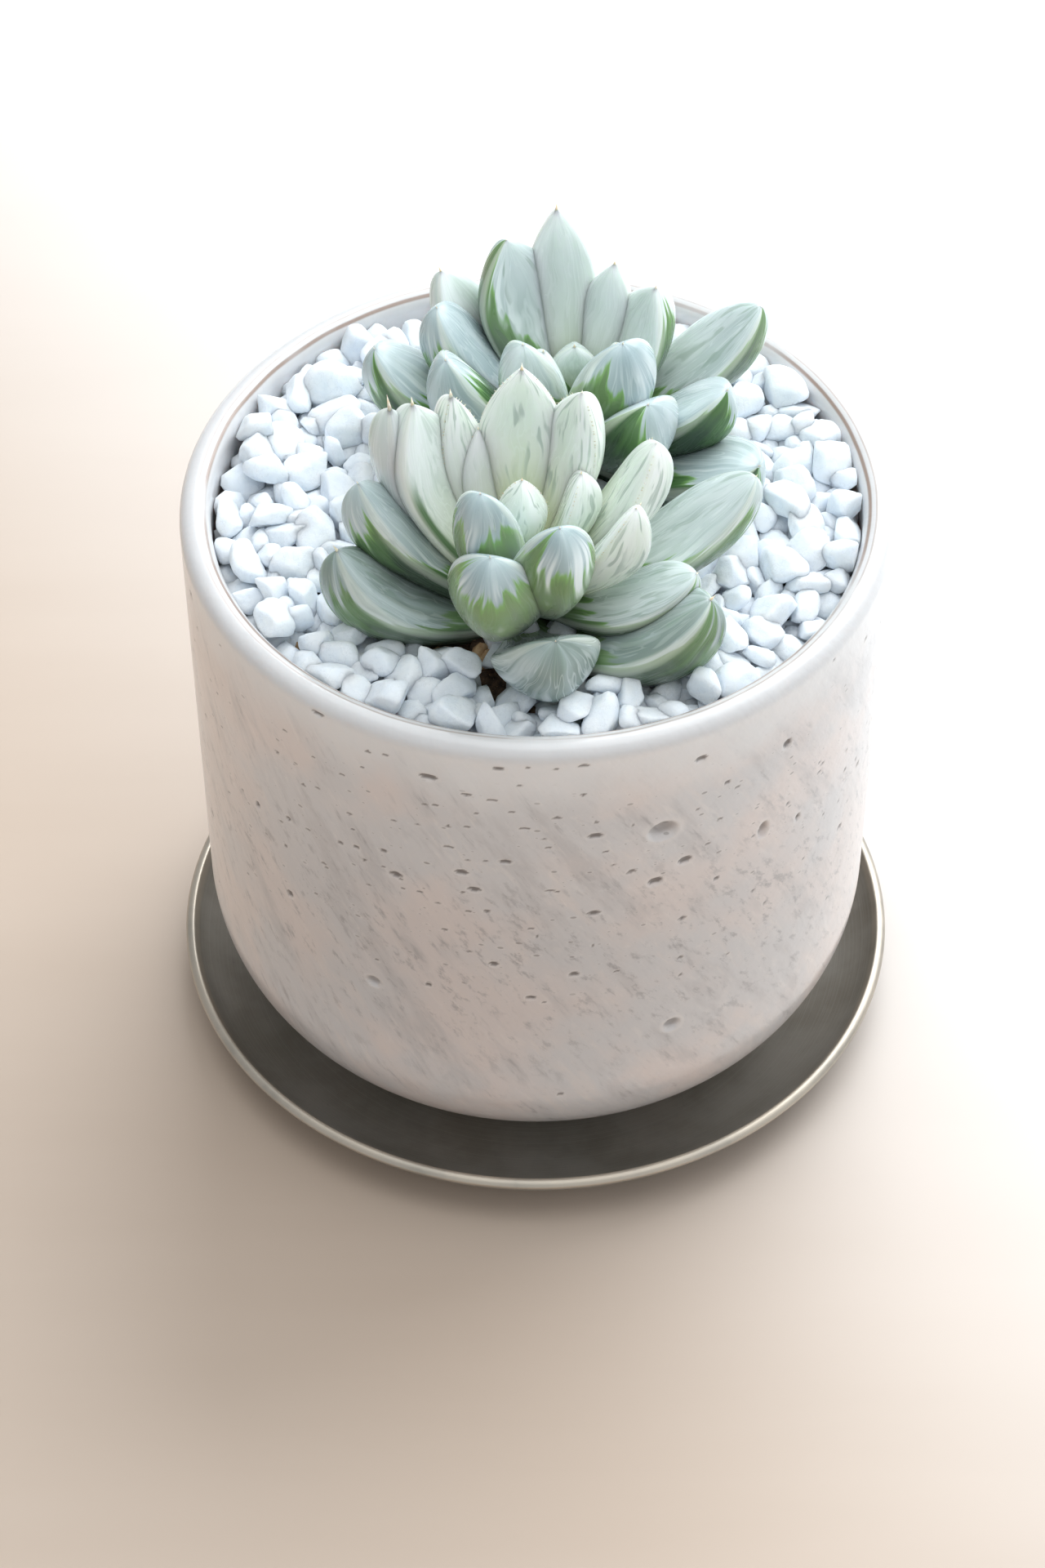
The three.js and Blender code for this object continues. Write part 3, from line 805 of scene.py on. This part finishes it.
def chip_material():
    t = Shading("white_stone")
    place = t.place()
    own = t.attribute("own")
    own_place = t.vector("ADD", place, own)
    cloud = t.noise(own_place, 0.35, 3, 0.6)
    vein = t.apart(t.noise(own_place, 0.5, 4, 0.6), 0.5)
    colour = t.blend(t.smooth(cloud, 0.25, 0.75), (0.79, 0.86, 0.94), (0.885, 0.94, 0.99))
    colour = t.layers(
        colour,
        (t.smooth(vein, 0.02, 0.0), 0.25, (0.60, 0.64, 0.70)),
        (t.smooth(t.noise(place, 0.16, 2), 0.70, 0.82), 0.35, (0.80, 0.76, 0.56)),
        (t.smooth(t.parts(own)[0], 60, 90), 0.4, (0.74, 0.79, 0.85)),
    )
    grain = t.plus(t.noise(place, 2.2, 4, 0.65), t.times(t.noise(place, 9, 2), 0.35))
    return t.finish(
        Base_Color=colour,
        Roughness=t.plus(0.42, t.times(cloud, 0.25)),
        Normal=t.bump(grain, 0.14, 0.6),
        Subsurface_Weight=0.6,
        Subsurface_Radius=(1.0, 1.05, 1.15),
        Subsurface_Scale=0.0022,
    )


def make_chips():
    random = np.random.default_rng(7)
    sizes = SMALLEST_CHIP + (LARGEST_CHIP - SMALLEST_CHIP) * random.beta(1.6, 2.0, CHIP_COUNT)
    place = pour_chips(CHIP_COUNT, sizes, random, keep_clear())
    coarse, plain, fine = (sphere_points(level) for level in (2, 3, 4))
    shape = Shape()
    for (x, y, z), size in zip(place, sizes):
        if z > CHIP_TOP_Z:
            continue
        buried = z < ground_z(x, y) + 1.3 * size
        sphere, faces = coarse if buried else fine if size > 2 else plain
        stone = cut_stone(random, sphere, int(random.integers(7, 12)), random.uniform(11, 24))
        stone = stone * size * CHIP_FORM * random.uniform(0.88, 1.1, 3)
        points = stone @ random_turn(random, 0.9).T + np.array([x, y, z])
        out = np.hypot(points[:, 0], points[:, 1])
        points[:, :2] *= np.minimum(1, (INNER_RADIUS - 0.15) / out)[:, None]
        shape.add(points, faces, own=random.uniform(0, 90, 3))
    piece = shape.build("stone_chips", chip_material())
    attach(piece, "root")
    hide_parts("gravel")


make_chips()

# ---------------- soil


def soil_colour(t, place):
    mottle = t.noise(place, 0.9, 4, 0.65)
    colour = t.blend(t.smooth(mottle, 0.3, 0.7), (0.020, 0.012, 0.008), (0.13, 0.075, 0.042))
    fleck = t.smooth(t.noise(place, 2.2, 2), 0.66, 0.74)
    return t.blend(fleck, colour, (0.36, 0.23, 0.12)), mottle


def soil_material():
    t = Shading("potting_soil")
    colour, mottle = soil_colour(t, t.place())
    return t.finish(Base_Color=colour, Roughness=0.95, Normal=t.bump(mottle, 1.0, 1.0))


def crumb_material():
    t = Shading("soil_crumbs")
    place = t.place()
    own = t.parts(t.attribute("own"))
    colour, mottle = soil_colour(t, place)
    tan = t.blend(t.smooth(mottle, 0.3, 0.7), (0.34, 0.19, 0.09), (0.52, 0.36, 0.20))
    colour = t.blend(t.smooth(own[0], 0.55, 0.6), colour, tan)
    return t.finish(Base_Color=colour, Roughness=0.9, Normal=t.bump(mottle, 0.4, 0.8))


CRUMB_COUNT = 900


def make_crumbs():
    """The heaped top of the potting mix with its grains, which show between the chips."""
    random = np.random.default_rng(11)
    shape = Shape()
    rings, sides = 60, 180
    radius = np.linspace(INNER_RADIUS - 0.3, 0.5, rings)
    angle = full_turn(sides)
    x = np.outer(radius, np.cos(angle))
    y = np.outer(radius, np.sin(angle))
    bumps = 0.25 * np.sin(x * 2.1 + np.sin(y * 1.3)) * np.sin(y * 1.9 + np.sin(x * 1.7))
    z = ground_z(x, y) + bumps - 0.1
    z[0] = SOIL_Z - 0.1
    faces = tube_faces(rings, sides)
    shape.add(np.stack([x, y, z], -1).reshape(-1, 3), faces, own=(0, 0, 0))
    sphere, faces = sphere_points(2)
    for _ in range(CRUMB_COUNT):
        angle = random.uniform(0, 2 * np.pi)
        radius = (INNER_RADIUS - 1.8) * math.sqrt(random.random())
        size = random.uniform(0.5, 1.5)
        x, y = radius * math.cos(angle), radius * math.sin(angle)
        stone = cut_stone(random, sphere, 10, 8) * size * CRUMB_FORM
        points = stone @ random_turn(random, 1.2).T + np.array([x, y, ground_z(x, y) + 0.3 * size])
        shape.add(points, faces, own=(random.random(), 0, 0))
    piece = shape.build("soil_crumbs", crumb_material())
    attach(piece, "root")


make_crumbs()
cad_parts["soil"].data.materials.clear()
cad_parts["soil"].data.materials.append(soil_material())

# ---------------- glass pot

# The bubbles that the photo shows: azimuth in degrees, height, half length and half height.
BUBBLES = [
    (-36, 88.5, 1.0, 0.7), (7, 88.0, 0.9, 0.25), (-6, 87.5, 0.8, 0.3), (-24, 86.0, 0.5, 0.25),
    (26, 84.5, 0.9, 0.6), (-17, 84.0, 1.3, 0.6), (-11, 82.0, 0.7, 0.3), (-7, 81.5, 0.7, 0.3),
    (-32, 79.0, 0.5, 0.3), (-16, 79.0, 0.5, 0.25), (43, 79.0, 0.8, 0.9), (3, 78.5, 0.6, 0.3),
    (31, 78.0, 0.5, 0.4), (-2, 76.5, 0.75, 0.32), (9, 74.5, 1.1, 0.5), (20, 73.0, 2.1, 1.7),
    (-31, 72.0, 0.5, 0.3), (-14, 71.5, 0.65, 0.32), (30, 71.5, 0.35, 0.3), (-5, 70.0, 0.85, 0.45),
    (-25, 67.5, 0.6, 0.3), (-12, 67.0, 0.95, 0.5), (15, 66.5, 0.6, 0.4), (24, 66.0, 1.05, 0.7),
    (-30, 66.0, 0.5, 0.4), (-33, 65.5, 0.4, 0.3), (39, 65.0, 0.9, 1.5), (2, 64.5, 0.6, 0.3),
    (-44, 64.0, 0.4, 0.5), (-10, 64.0, 0.95, 0.5), (19, 63.5, 1.1, 0.8), (-23, 63.5, 0.95, 0.6),
    (47, 62.5, 0.5, 0.7), (-52, 61.5, 0.5, 0.7), (-8, 60.0, 0.5, 0.3), (30, 60.0, 0.5, 0.4),
    (9, 59.5, 0.95, 0.45), (24, 54.5, 0.6, 0.4), (-7, 49.5, 0.75, 0.45), (-45, 48.5, 0.6, 0.7),
    (6, 47.5, 0.75, 0.5), (13, 47.0, 0.4, 0.3), (24, 46.5, 0.4, 0.4), (-18, 43.0, 0.5, 0.4),
    (-1, 43.0, 0.7, 0.45), (-28, 40.0, 1.15, 1.0), (23, 33.0, 1.3, 1.2), (4, 22.0, 0.6, 0.4),
]

# The smallest of them, by half length and half height: azimuths and heights.
SMALL_BUBBLES = {
    (0.3, 0.22): [
        (15, 75.5), (-19, 74.5), (1, 74.5), (-37, 74.0), (-23, 74.0), (-11, 69.5), (12, 68.5),
        (-28, 59.5), (-11, 51.5),
    ],
    (0.35, 0.22): [(-4, 79.5), (-19, 61.5), (-16, 60.0), (-11, 59.5), (0, 55.5), (9, 53.0)],
    (0.35, 0.25): [(-11, 76.0), (-14, 75.5)],
    (0.4, 0.25): [(-27, 85.5), (7, 82.5), (-40, 73.0), (-1, 57.0), (-15, 55.0)],
}

HIDDEN_BUBBLES = 130  # on the sides that the photo doesn't show
TINY_BUBBLES = 150
SHOWN_AZIMUTH = 56
POT_COLUMNS = 1080
WALL_ROWS = 230


def arc(centre, radius, start, end, steps):
    """Points on an arc of a circle, angles in degrees from the outward direction."""
    angle = np.radians(np.linspace(start, end, steps + 1))
    return np.column_stack([centre[0] + radius * np.cos(angle), centre[1] + radius * np.sin(angle)])


def pot_profile():
    """The pot's outline as (radius, z), from the drain hole's lower edge up over the rim and down inside."""
    inner_rounding = POT_ROUNDING - POT_WALL
    inner_waist = POT_WAIST_RADIUS - POT_WALL
    floor_z = POT_BASE_Z + POT_FLOOR
    outer_bottom = (POT_WAIST_RADIUS - POT_ROUNDING, POT_BASE_Z + POT_ROUNDING)
    inner_bottom = (inner_waist - inner_rounding, floor_z + inner_rounding)
    lip = (POT_RADIUS - LIP_ROUNDING, POT_RIM_Z - LIP_ROUNDING)
    wall_z = np.linspace(outer_bottom[1], lip[1], WALL_ROWS)[1:-1]
    wall_share = (wall_z - outer_bottom[1]) / (lip[1] - outer_bottom[1])
    wall = np.column_stack([POT_WAIST_RADIUS + (POT_RADIUS - POT_WAIST_RADIUS) * wall_share, wall_z])
    inner_z = np.linspace(lip[1], inner_bottom[1], 12)[1:-1]
    inner_share = (inner_z - inner_bottom[1]) / (lip[1] - inner_bottom[1])
    inner = np.column_stack([inner_waist + (INNER_RADIUS - inner_waist) * inner_share, inner_z])
    return np.vstack([
        [[DRAIN_RADIUS, POT_BASE_Z]],
        arc(outer_bottom, POT_ROUNDING, -90, 0, 70),
        wall,
        arc(lip, LIP_ROUNDING, 0, 180, 20),
        inner,
        arc(inner_bottom, inner_rounding, 0, -90, 12),
        [[DRAIN_RADIUS, floor_z]],
    ])


def all_bubbles():
    """The bubbles that the photo shows, others like them on the hidden sides, and tiny ones all round."""
    random = np.random.default_rng(3)
    bubbles = BUBBLES + [(*place, *size) for size, places in SMALL_BUBBLES.items() for place in places]
    for number in range(HIDDEN_BUBBLES + TINY_BUBBLES):
        azimuth = random.uniform(-180, 180)
        z = np.clip(66 + 13 * random.normal(), 20, 88)
        tiny = number >= HIDDEN_BUBBLES
        size = 0.3 + (0.12 * random.random() if tiny else 0.85 * random.random() ** 2.5)
        if tiny or abs(azimuth) > SHOWN_AZIMUTH:
            bubbles.append((azimuth, z, size, 0.2 + (size - 0.3) * 0.55))
    return bubbles


POT_PINK = (0.73, 0.645, 0.605)
POT_GREY = (0.65, 0.625, 0.615)


def pot_material():
    t = Shading("bubble_glass")
    place = t.place()
    x, y, z = t.parts(place)
    twisted = t.attribute("twisted")
    pit_shade, pit_light, rim = t.parts(t.attribute("bubble"))

    # the milky body: pinkish, greyer in clouds, with streaks that run aslant
    clouds = t.noise(place, 0.055, 3, 0.55)
    streaks = t.noise(twisted, 0.20, 4, 0.62)
    threads = t.noise(twisted, 0.70, 3, 0.6)
    flecks = t.noise(t.vector("MULTIPLY", twisted, (1, 1, 2)), 0.55, 4, 0.7)
    strokes = t.times(t.smooth(threads, 0.56, 0.74), t.smooth(streaks, 0.44, 0.58))
    # painted shade: a darker band at mid height, where the soil inside shows dark through the glass; the dark
    # flecks are denser there too
    soil_shade = t.times(t.smooth(z, 18, 44), t.smooth(z, SOIL_Z - 8, 52))
    body = t.layers(
        t.blend(t.smooth(clouds, 0.38, 0.62), POT_PINK, POT_GREY),
        (t.smooth(streaks, 0.50, 0.70), 0.5, (0.50, 0.47, 0.46)),
        (t.smooth(streaks, 0.46, 0.30), 0.3, (0.80, 0.69, 0.62)),
        (strokes, 0.5, (0.32, 0.30, 0.30)),
        (t.smooth(threads, 0.44, 0.3), 0.2, (0.86, 0.79, 0.73)),
        (soil_shade, 0.22, (0.44, 0.41, 0.40)),
        (t.smooth(flecks, 0.53, 0.70), t.plus(0.12, t.times(soil_shade, 0.48)), (0.30, 0.28, 0.28)),
    )

    # painted light: whiter above the soil line, where there is only glass with the white chips behind it and
    # light comes through
    edge = t.plus(z, t.times(t.minus(t.noise(place, 0.10, 3), 0.5), 12.0))
    above = t.times(t.smooth(edge, SOIL_Z - 5.0, SOIL_Z + 7.0), 0.85)
    body = t.blend(above, body, (0.80, 0.79, 0.78))

    # fine bubbles, drawn as painted shade in their cores and painted light in pale rings round them
    flat = t.vector("MULTIPLY", place, (1, 1, 2.1))
    for scale, largest, strength in ((0.42, 0.20, 0.6), (0.85, 0.2, 0.4)):
        distance, colour = t.cells(flat, scale)
        chance = t.parts(colour)[0]
        size = t.times(t.smooth(chance, 0.55, 1.0), largest)
        share = t.math("DIVIDE", distance, t.math("MAXIMUM", size, 0.001))
        ring = t.times(t.smooth(share, 1.0, 1.2), t.smooth(share, 2.0, 1.3))
        core = t.smooth(share, 1.05, 0.7)
        band = t.times(t.smooth(z, 30, 55), t.smooth(z, SOIL_Z + 5, SOIL_Z - 4))
        body = t.blend(t.times(ring, band, 0.2), body, (0.78, 0.74, 0.70))
        body = t.blend(t.times(core, band, strength), body, (0.24, 0.21, 0.19))
    # painted light in the pale rings round the bubbles' pits and painted shade in the pits
    body = t.layers(body, (pit_light, 0.3, (0.78, 0.73, 0.69)), (pit_shade, 0.85, (0.15, 0.125, 0.115)))

    # the rim: paler glass, with two thin brown lines where the inside shows through
    from_axis = t.from_axis(x, y)
    body = t.blend(t.times(rim, 0.6), body, (0.60, 0.60, 0.60))
    wander = t.times(t.minus(t.noise(place, 0.05, 2), 0.5), 0.7)
    for inward, half_width, strength in ((0.85, 0.32, 0.85), (1.75, 0.20, 0.5)):
        line_radius = INNER_RADIUS + inward
        off = t.apart(t.plus(from_axis, wander), line_radius)
        line = t.times(t.smooth(off, half_width, half_width * 0.3), rim)
        line = t.times(line, t.smooth(t.noise(place, 0.06, 2), 0.25, 0.48), strength)
        body = t.blend(line, body, (0.30, 0.20, 0.15))

    surface = t.plus(t.noise(place, 0.25, 3), t.times(t.noise(twisted, 0.8, 2), 0.3))
    return t.finish(
        Base_Color=body,
        Roughness=0.32,
        Normal=t.bump(surface, 0.35, 0.5),
        Subsurface_Weight=0.3,
        Subsurface_Radius=(1.2, 1.0, 0.9),
        Subsurface_Scale=0.003,
        Coat_Weight=0.5,
        Coat_Roughness=0.12,
        IOR=1.5,
    )


STREAK_SLANT = 0.55


def add_bubbles(around, z):
    """The depth of the bubbles' pits at points of the wall, the painted shade in them and the painted light of
    the pale rings round them.
    """
    dent, pit_shade, pit_light = np.zeros((3, *z.shape))
    heights = z[:, 0]
    column_turn = 2 * np.pi / z.shape[1]
    for azimuth, height, long, tall in all_bubbles():
        rows = np.nonzero(np.abs(heights - height) < 1.8 * tall)[0]
        middle = (math.radians(azimuth) + np.pi) / column_turn
        reach = int(1.8 * long / POT_RADIUS / column_turn) + 1
        columns = np.arange(int(middle) - reach, int(middle) + reach + 2) % z.shape[1]
        patch = np.ix_(rows, columns)
        turn = (around[patch] - math.radians(azimuth) + np.pi) % (2 * np.pi) - np.pi
        across = turn * POT_RADIUS / long
        upward = (z[patch] - height) / tall
        share = across**2 + upward**2
        dent[patch] = np.maximum(dent[patch], np.clip(1 - share, 0, 1) ** 0.7 * 0.55 * tall)
        # painted shade in each pit, darkest a little above its middle as if lit from above, and painted light
        # in a pale ring round it
        core = np.clip(1.15 - across**2 - (upward - 0.15) ** 2 * 1.5, 0, 1)
        dark = smooth_step(core * (2.2 if tall < 1 else 1.1)) * (1 if tall < 1 else 0.6)
        pit_shade[patch] = np.maximum(pit_shade[patch], dark)
        pit_light[patch] = np.maximum(pit_light[patch], smooth_step(2.6 - share) * smooth_step(share * 1.2))
    return dent, pit_shade, pit_light


def make_pot():
    profile = pot_profile()
    azimuth = full_turn(POT_COLUMNS, -np.pi)
    radius, z = (np.tile(values[:, None], POT_COLUMNS) for values in profile.T)
    around = np.tile(azimuth, (len(profile), 1))
    outer_rows = int(np.argmax(profile[:, 1] >= POT_RIM_Z - LIP_ROUNDING)) + 1
    bubble = np.zeros((*z.shape, 3))
    dent, pit_shade, pit_light = add_bubbles(around[:outer_rows], z[:outer_rows])
    radius[:outer_rows] -= dent
    bubble[:outer_rows, :, 0] = pit_shade
    bubble[:outer_rows, :, 1] = pit_light
    bubble[..., 2] = smooth_step((z - POT_RIM_Z + 2.6) / 1.4)
    points = np.stack([radius * np.sin(around), -radius * np.cos(around), z], -1).reshape(-1, 3)
    twist = around + z / POT_RADIUS * STREAK_SLANT
    twisted = np.stack([POT_RADIUS * np.sin(twist), -POT_RADIUS * np.cos(twist), z * 0.32], -1)
    faces = grid_faces(len(profile), POT_COLUMNS, closed=True)
    shape = Shape()
    shape.add(points, faces, twisted=twisted.reshape(-1, 3), bubble=bubble.reshape(-1, 3))
    piece = shape.build("bubble_glass_pot", pot_material())
    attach(piece, "root")
    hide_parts("glass_pot")


make_pot()

# ---------------- saucer


def saucer_profile():
    """The saucer's outline as (radius, z): the underside outwards, the lip, the upper face inwards."""
    flare = math.radians(SAUCER_FLARE)
    angle = np.linspace(0, flare, 26)
    run = SAUCER_RADIUS - SAUCER_FLAT_RADIUS
    outer = np.column_stack([
        SAUCER_FLAT_RADIUS + run * np.sin(angle) / math.sin(flare),
        SAUCER_HEIGHT * (1 - np.cos(angle)) / (1 - math.cos(flare)),
    ])
    slope = np.arctan2(
        SAUCER_HEIGHT * np.sin(angle) / (1 - math.cos(flare)), run * np.cos(angle) / math.sin(flare)
    )
    inner = outer + SAUCER_THICKNESS * np.column_stack([-np.sin(slope), np.cos(slope)])
    middle = (outer[-1] + inner[-1]) / 2
    half = (outer[-1] - inner[-1]) / 2
    forward = np.array([-half[1], half[0]])
    turn = np.linspace(0, np.pi, 10)[1:-1, None]
    lip = middle + half * np.cos(turn) + forward * np.sin(turn) * 0.5
    lip[:, 0] = np.minimum(lip[:, 0], SAUCER_RADIUS)
    flat = np.linspace(8, SAUCER_FLAT_RADIUS, 6)[:-1]
    underside = np.column_stack([flat, np.zeros_like(flat)])
    upperside = np.column_stack([flat[::-1], np.full_like(flat, SAUCER_THICKNESS)])
    return np.vstack([underside, outer, lip, inner[::-1], upperside])


def saucer_material():
    t = Shading("saucer_metal")
    place = t.place()
    x, y, z = t.parts(place)
    radius = t.from_axis(x, y)
    turned = t.noise(t.node("CombineXYZ", radius).outputs[0], 4.0, 3, 0.6)
    cloud = t.noise(place, 0.08, 4, 0.6)
    # painted light: the lip is paler and warmer where its edge catches light from the floor
    lip_light = t.smooth(z, SAUCER_HEIGHT - 0.7, SAUCER_HEIGHT + 0.3)
    colour = t.layers(
        t.blend(t.smooth(cloud, 0.3, 0.7), (0.31, 0.285, 0.24), (0.41, 0.385, 0.345)),
        (t.smooth(turned, 0.4, 0.65), 0.25, (0.52, 0.50, 0.465)),
        (t.smooth(t.noise(place, 1.3, 2), 0.68, 0.76), 0.3, (0.28, 0.26, 0.24)),
        (lip_light, t.smooth(cloud, 0.2, 0.6), (0.52, 0.46, 0.38)),
    )
    rough = t.plus(0.34, t.times(cloud, 0.12))
    return t.finish(Base_Color=colour, Metallic=0.7, Roughness=rough, Normal=t.bump(turned, 0.04, 0.5))


def make_saucer():
    profile = saucer_profile()
    azimuth = full_turn(SAUCER_COLUMNS)
    points = np.stack([
        np.outer(profile[:, 0], np.cos(azimuth)),
        np.outer(profile[:, 0], np.sin(azimuth)),
        np.repeat(profile[:, 1:], SAUCER_COLUMNS, 1),
    ], -1).reshape(-1, 3)
    faces = tube_faces(len(profile), SAUCER_COLUMNS)
    shape = Shape()
    shape.add(points, faces)
    piece = shape.build("metal_saucer", saucer_material())
    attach(piece, "root")
    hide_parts("saucer")


make_saucer()

# ---------------- floor and light


FLOOR_REACH = 3.0  # metres


def make_floor():
    mesh = bpy.data.meshes.new("floor")
    corners = [(-1, -1, 0), (1, -1, 0), (1, 1, 0), (-1, 1, 0)]
    mesh.from_pydata(np.array(corners) * FLOOR_REACH, [], [(0, 1, 2, 3)])
    floor = add_object("floor", mesh)
    t = Shading("pale_floor")
    place = t.place()
    x, y, z = t.parts(place)
    grain = t.noise(t.vector("MULTIPLY", place, (1, 6, 1)), 0.01, 3)
    warm = t.blend(grain, (0.52, 0.41, 0.32), (0.57, 0.46, 0.37))
    # partly the floor's own warm tone and partly painted light: darker and warmer at the front left, pale
    # white towards the lit back right
    away = t.plus(t.times(x, 0.8), t.times(y, 0.6))
    colour = t.blend(t.smooth(away, -60, 150), warm, (0.92, 0.92, 0.915))
    mesh.materials.append(t.finish(Base_Color=colour, Roughness=0.5))


ROOM_DIM = 0.36
ROOM_BRIGHT = 0.83
ROOM_TOWARDS = (0.6, -0.8, 0.0)  # the direction of the room's brightest side
ROOM_COLOUR = (0.92, 0.96, 1.0)
LIT_POINT = Vector((0, 0, 0.07))


def add_light(name, place, size, power, colour):
    data = bpy.data.lights.new(name, "AREA")
    data.shape = "DISK"
    data.size = size
    data.energy = power
    data.color = colour
    light = add_object(name, data)
    light.location = place
    light.rotation_mode = "QUATERNION"
    light.rotation_quaternion = (Vector(place) - LIT_POINT).to_track_quat("Z", "Y")


def make_light():
    """A room that is brightest in front on the right, a window behind it and a soft light above."""
    world = bpy.data.worlds.new("world")
    bpy.context.scene.world = world
    world.use_nodes = True
    nodes = world.node_tree.nodes
    links = world.node_tree.links
    direction = nodes.new("ShaderNodeTexCoord").outputs["Generated"]
    facing = nodes.new("ShaderNodeVectorMath")
    facing.operation = "DOT_PRODUCT"
    facing.inputs[1].default_value = ROOM_TOWARDS
    shade = nodes.new("ShaderNodeMapRange")
    links.new(direction, facing.inputs[0])
    links.new(facing.outputs["Value"], shade.inputs["Value"])
    for socket, value in zip(shade.inputs[1:5], (-1, 1, ROOM_DIM, ROOM_BRIGHT)):
        socket.default_value = value
    background = nodes["Background"]
    background.inputs["Color"].default_value = (*ROOM_COLOUR, 1)
    links.new(shade.outputs["Result"], background.inputs["Strength"])
    add_light("window", (0.55, 1.0, 1.0), 1.5, 25, ROOM_COLOUR)
    add_light("ceiling", (0.1, 0.1, 1.3), 1.5, 8.5, (0.95, 0.98, 1.0))
    bpy.context.scene.view_settings.view_transform = "Standard"


make_floor()
make_light()
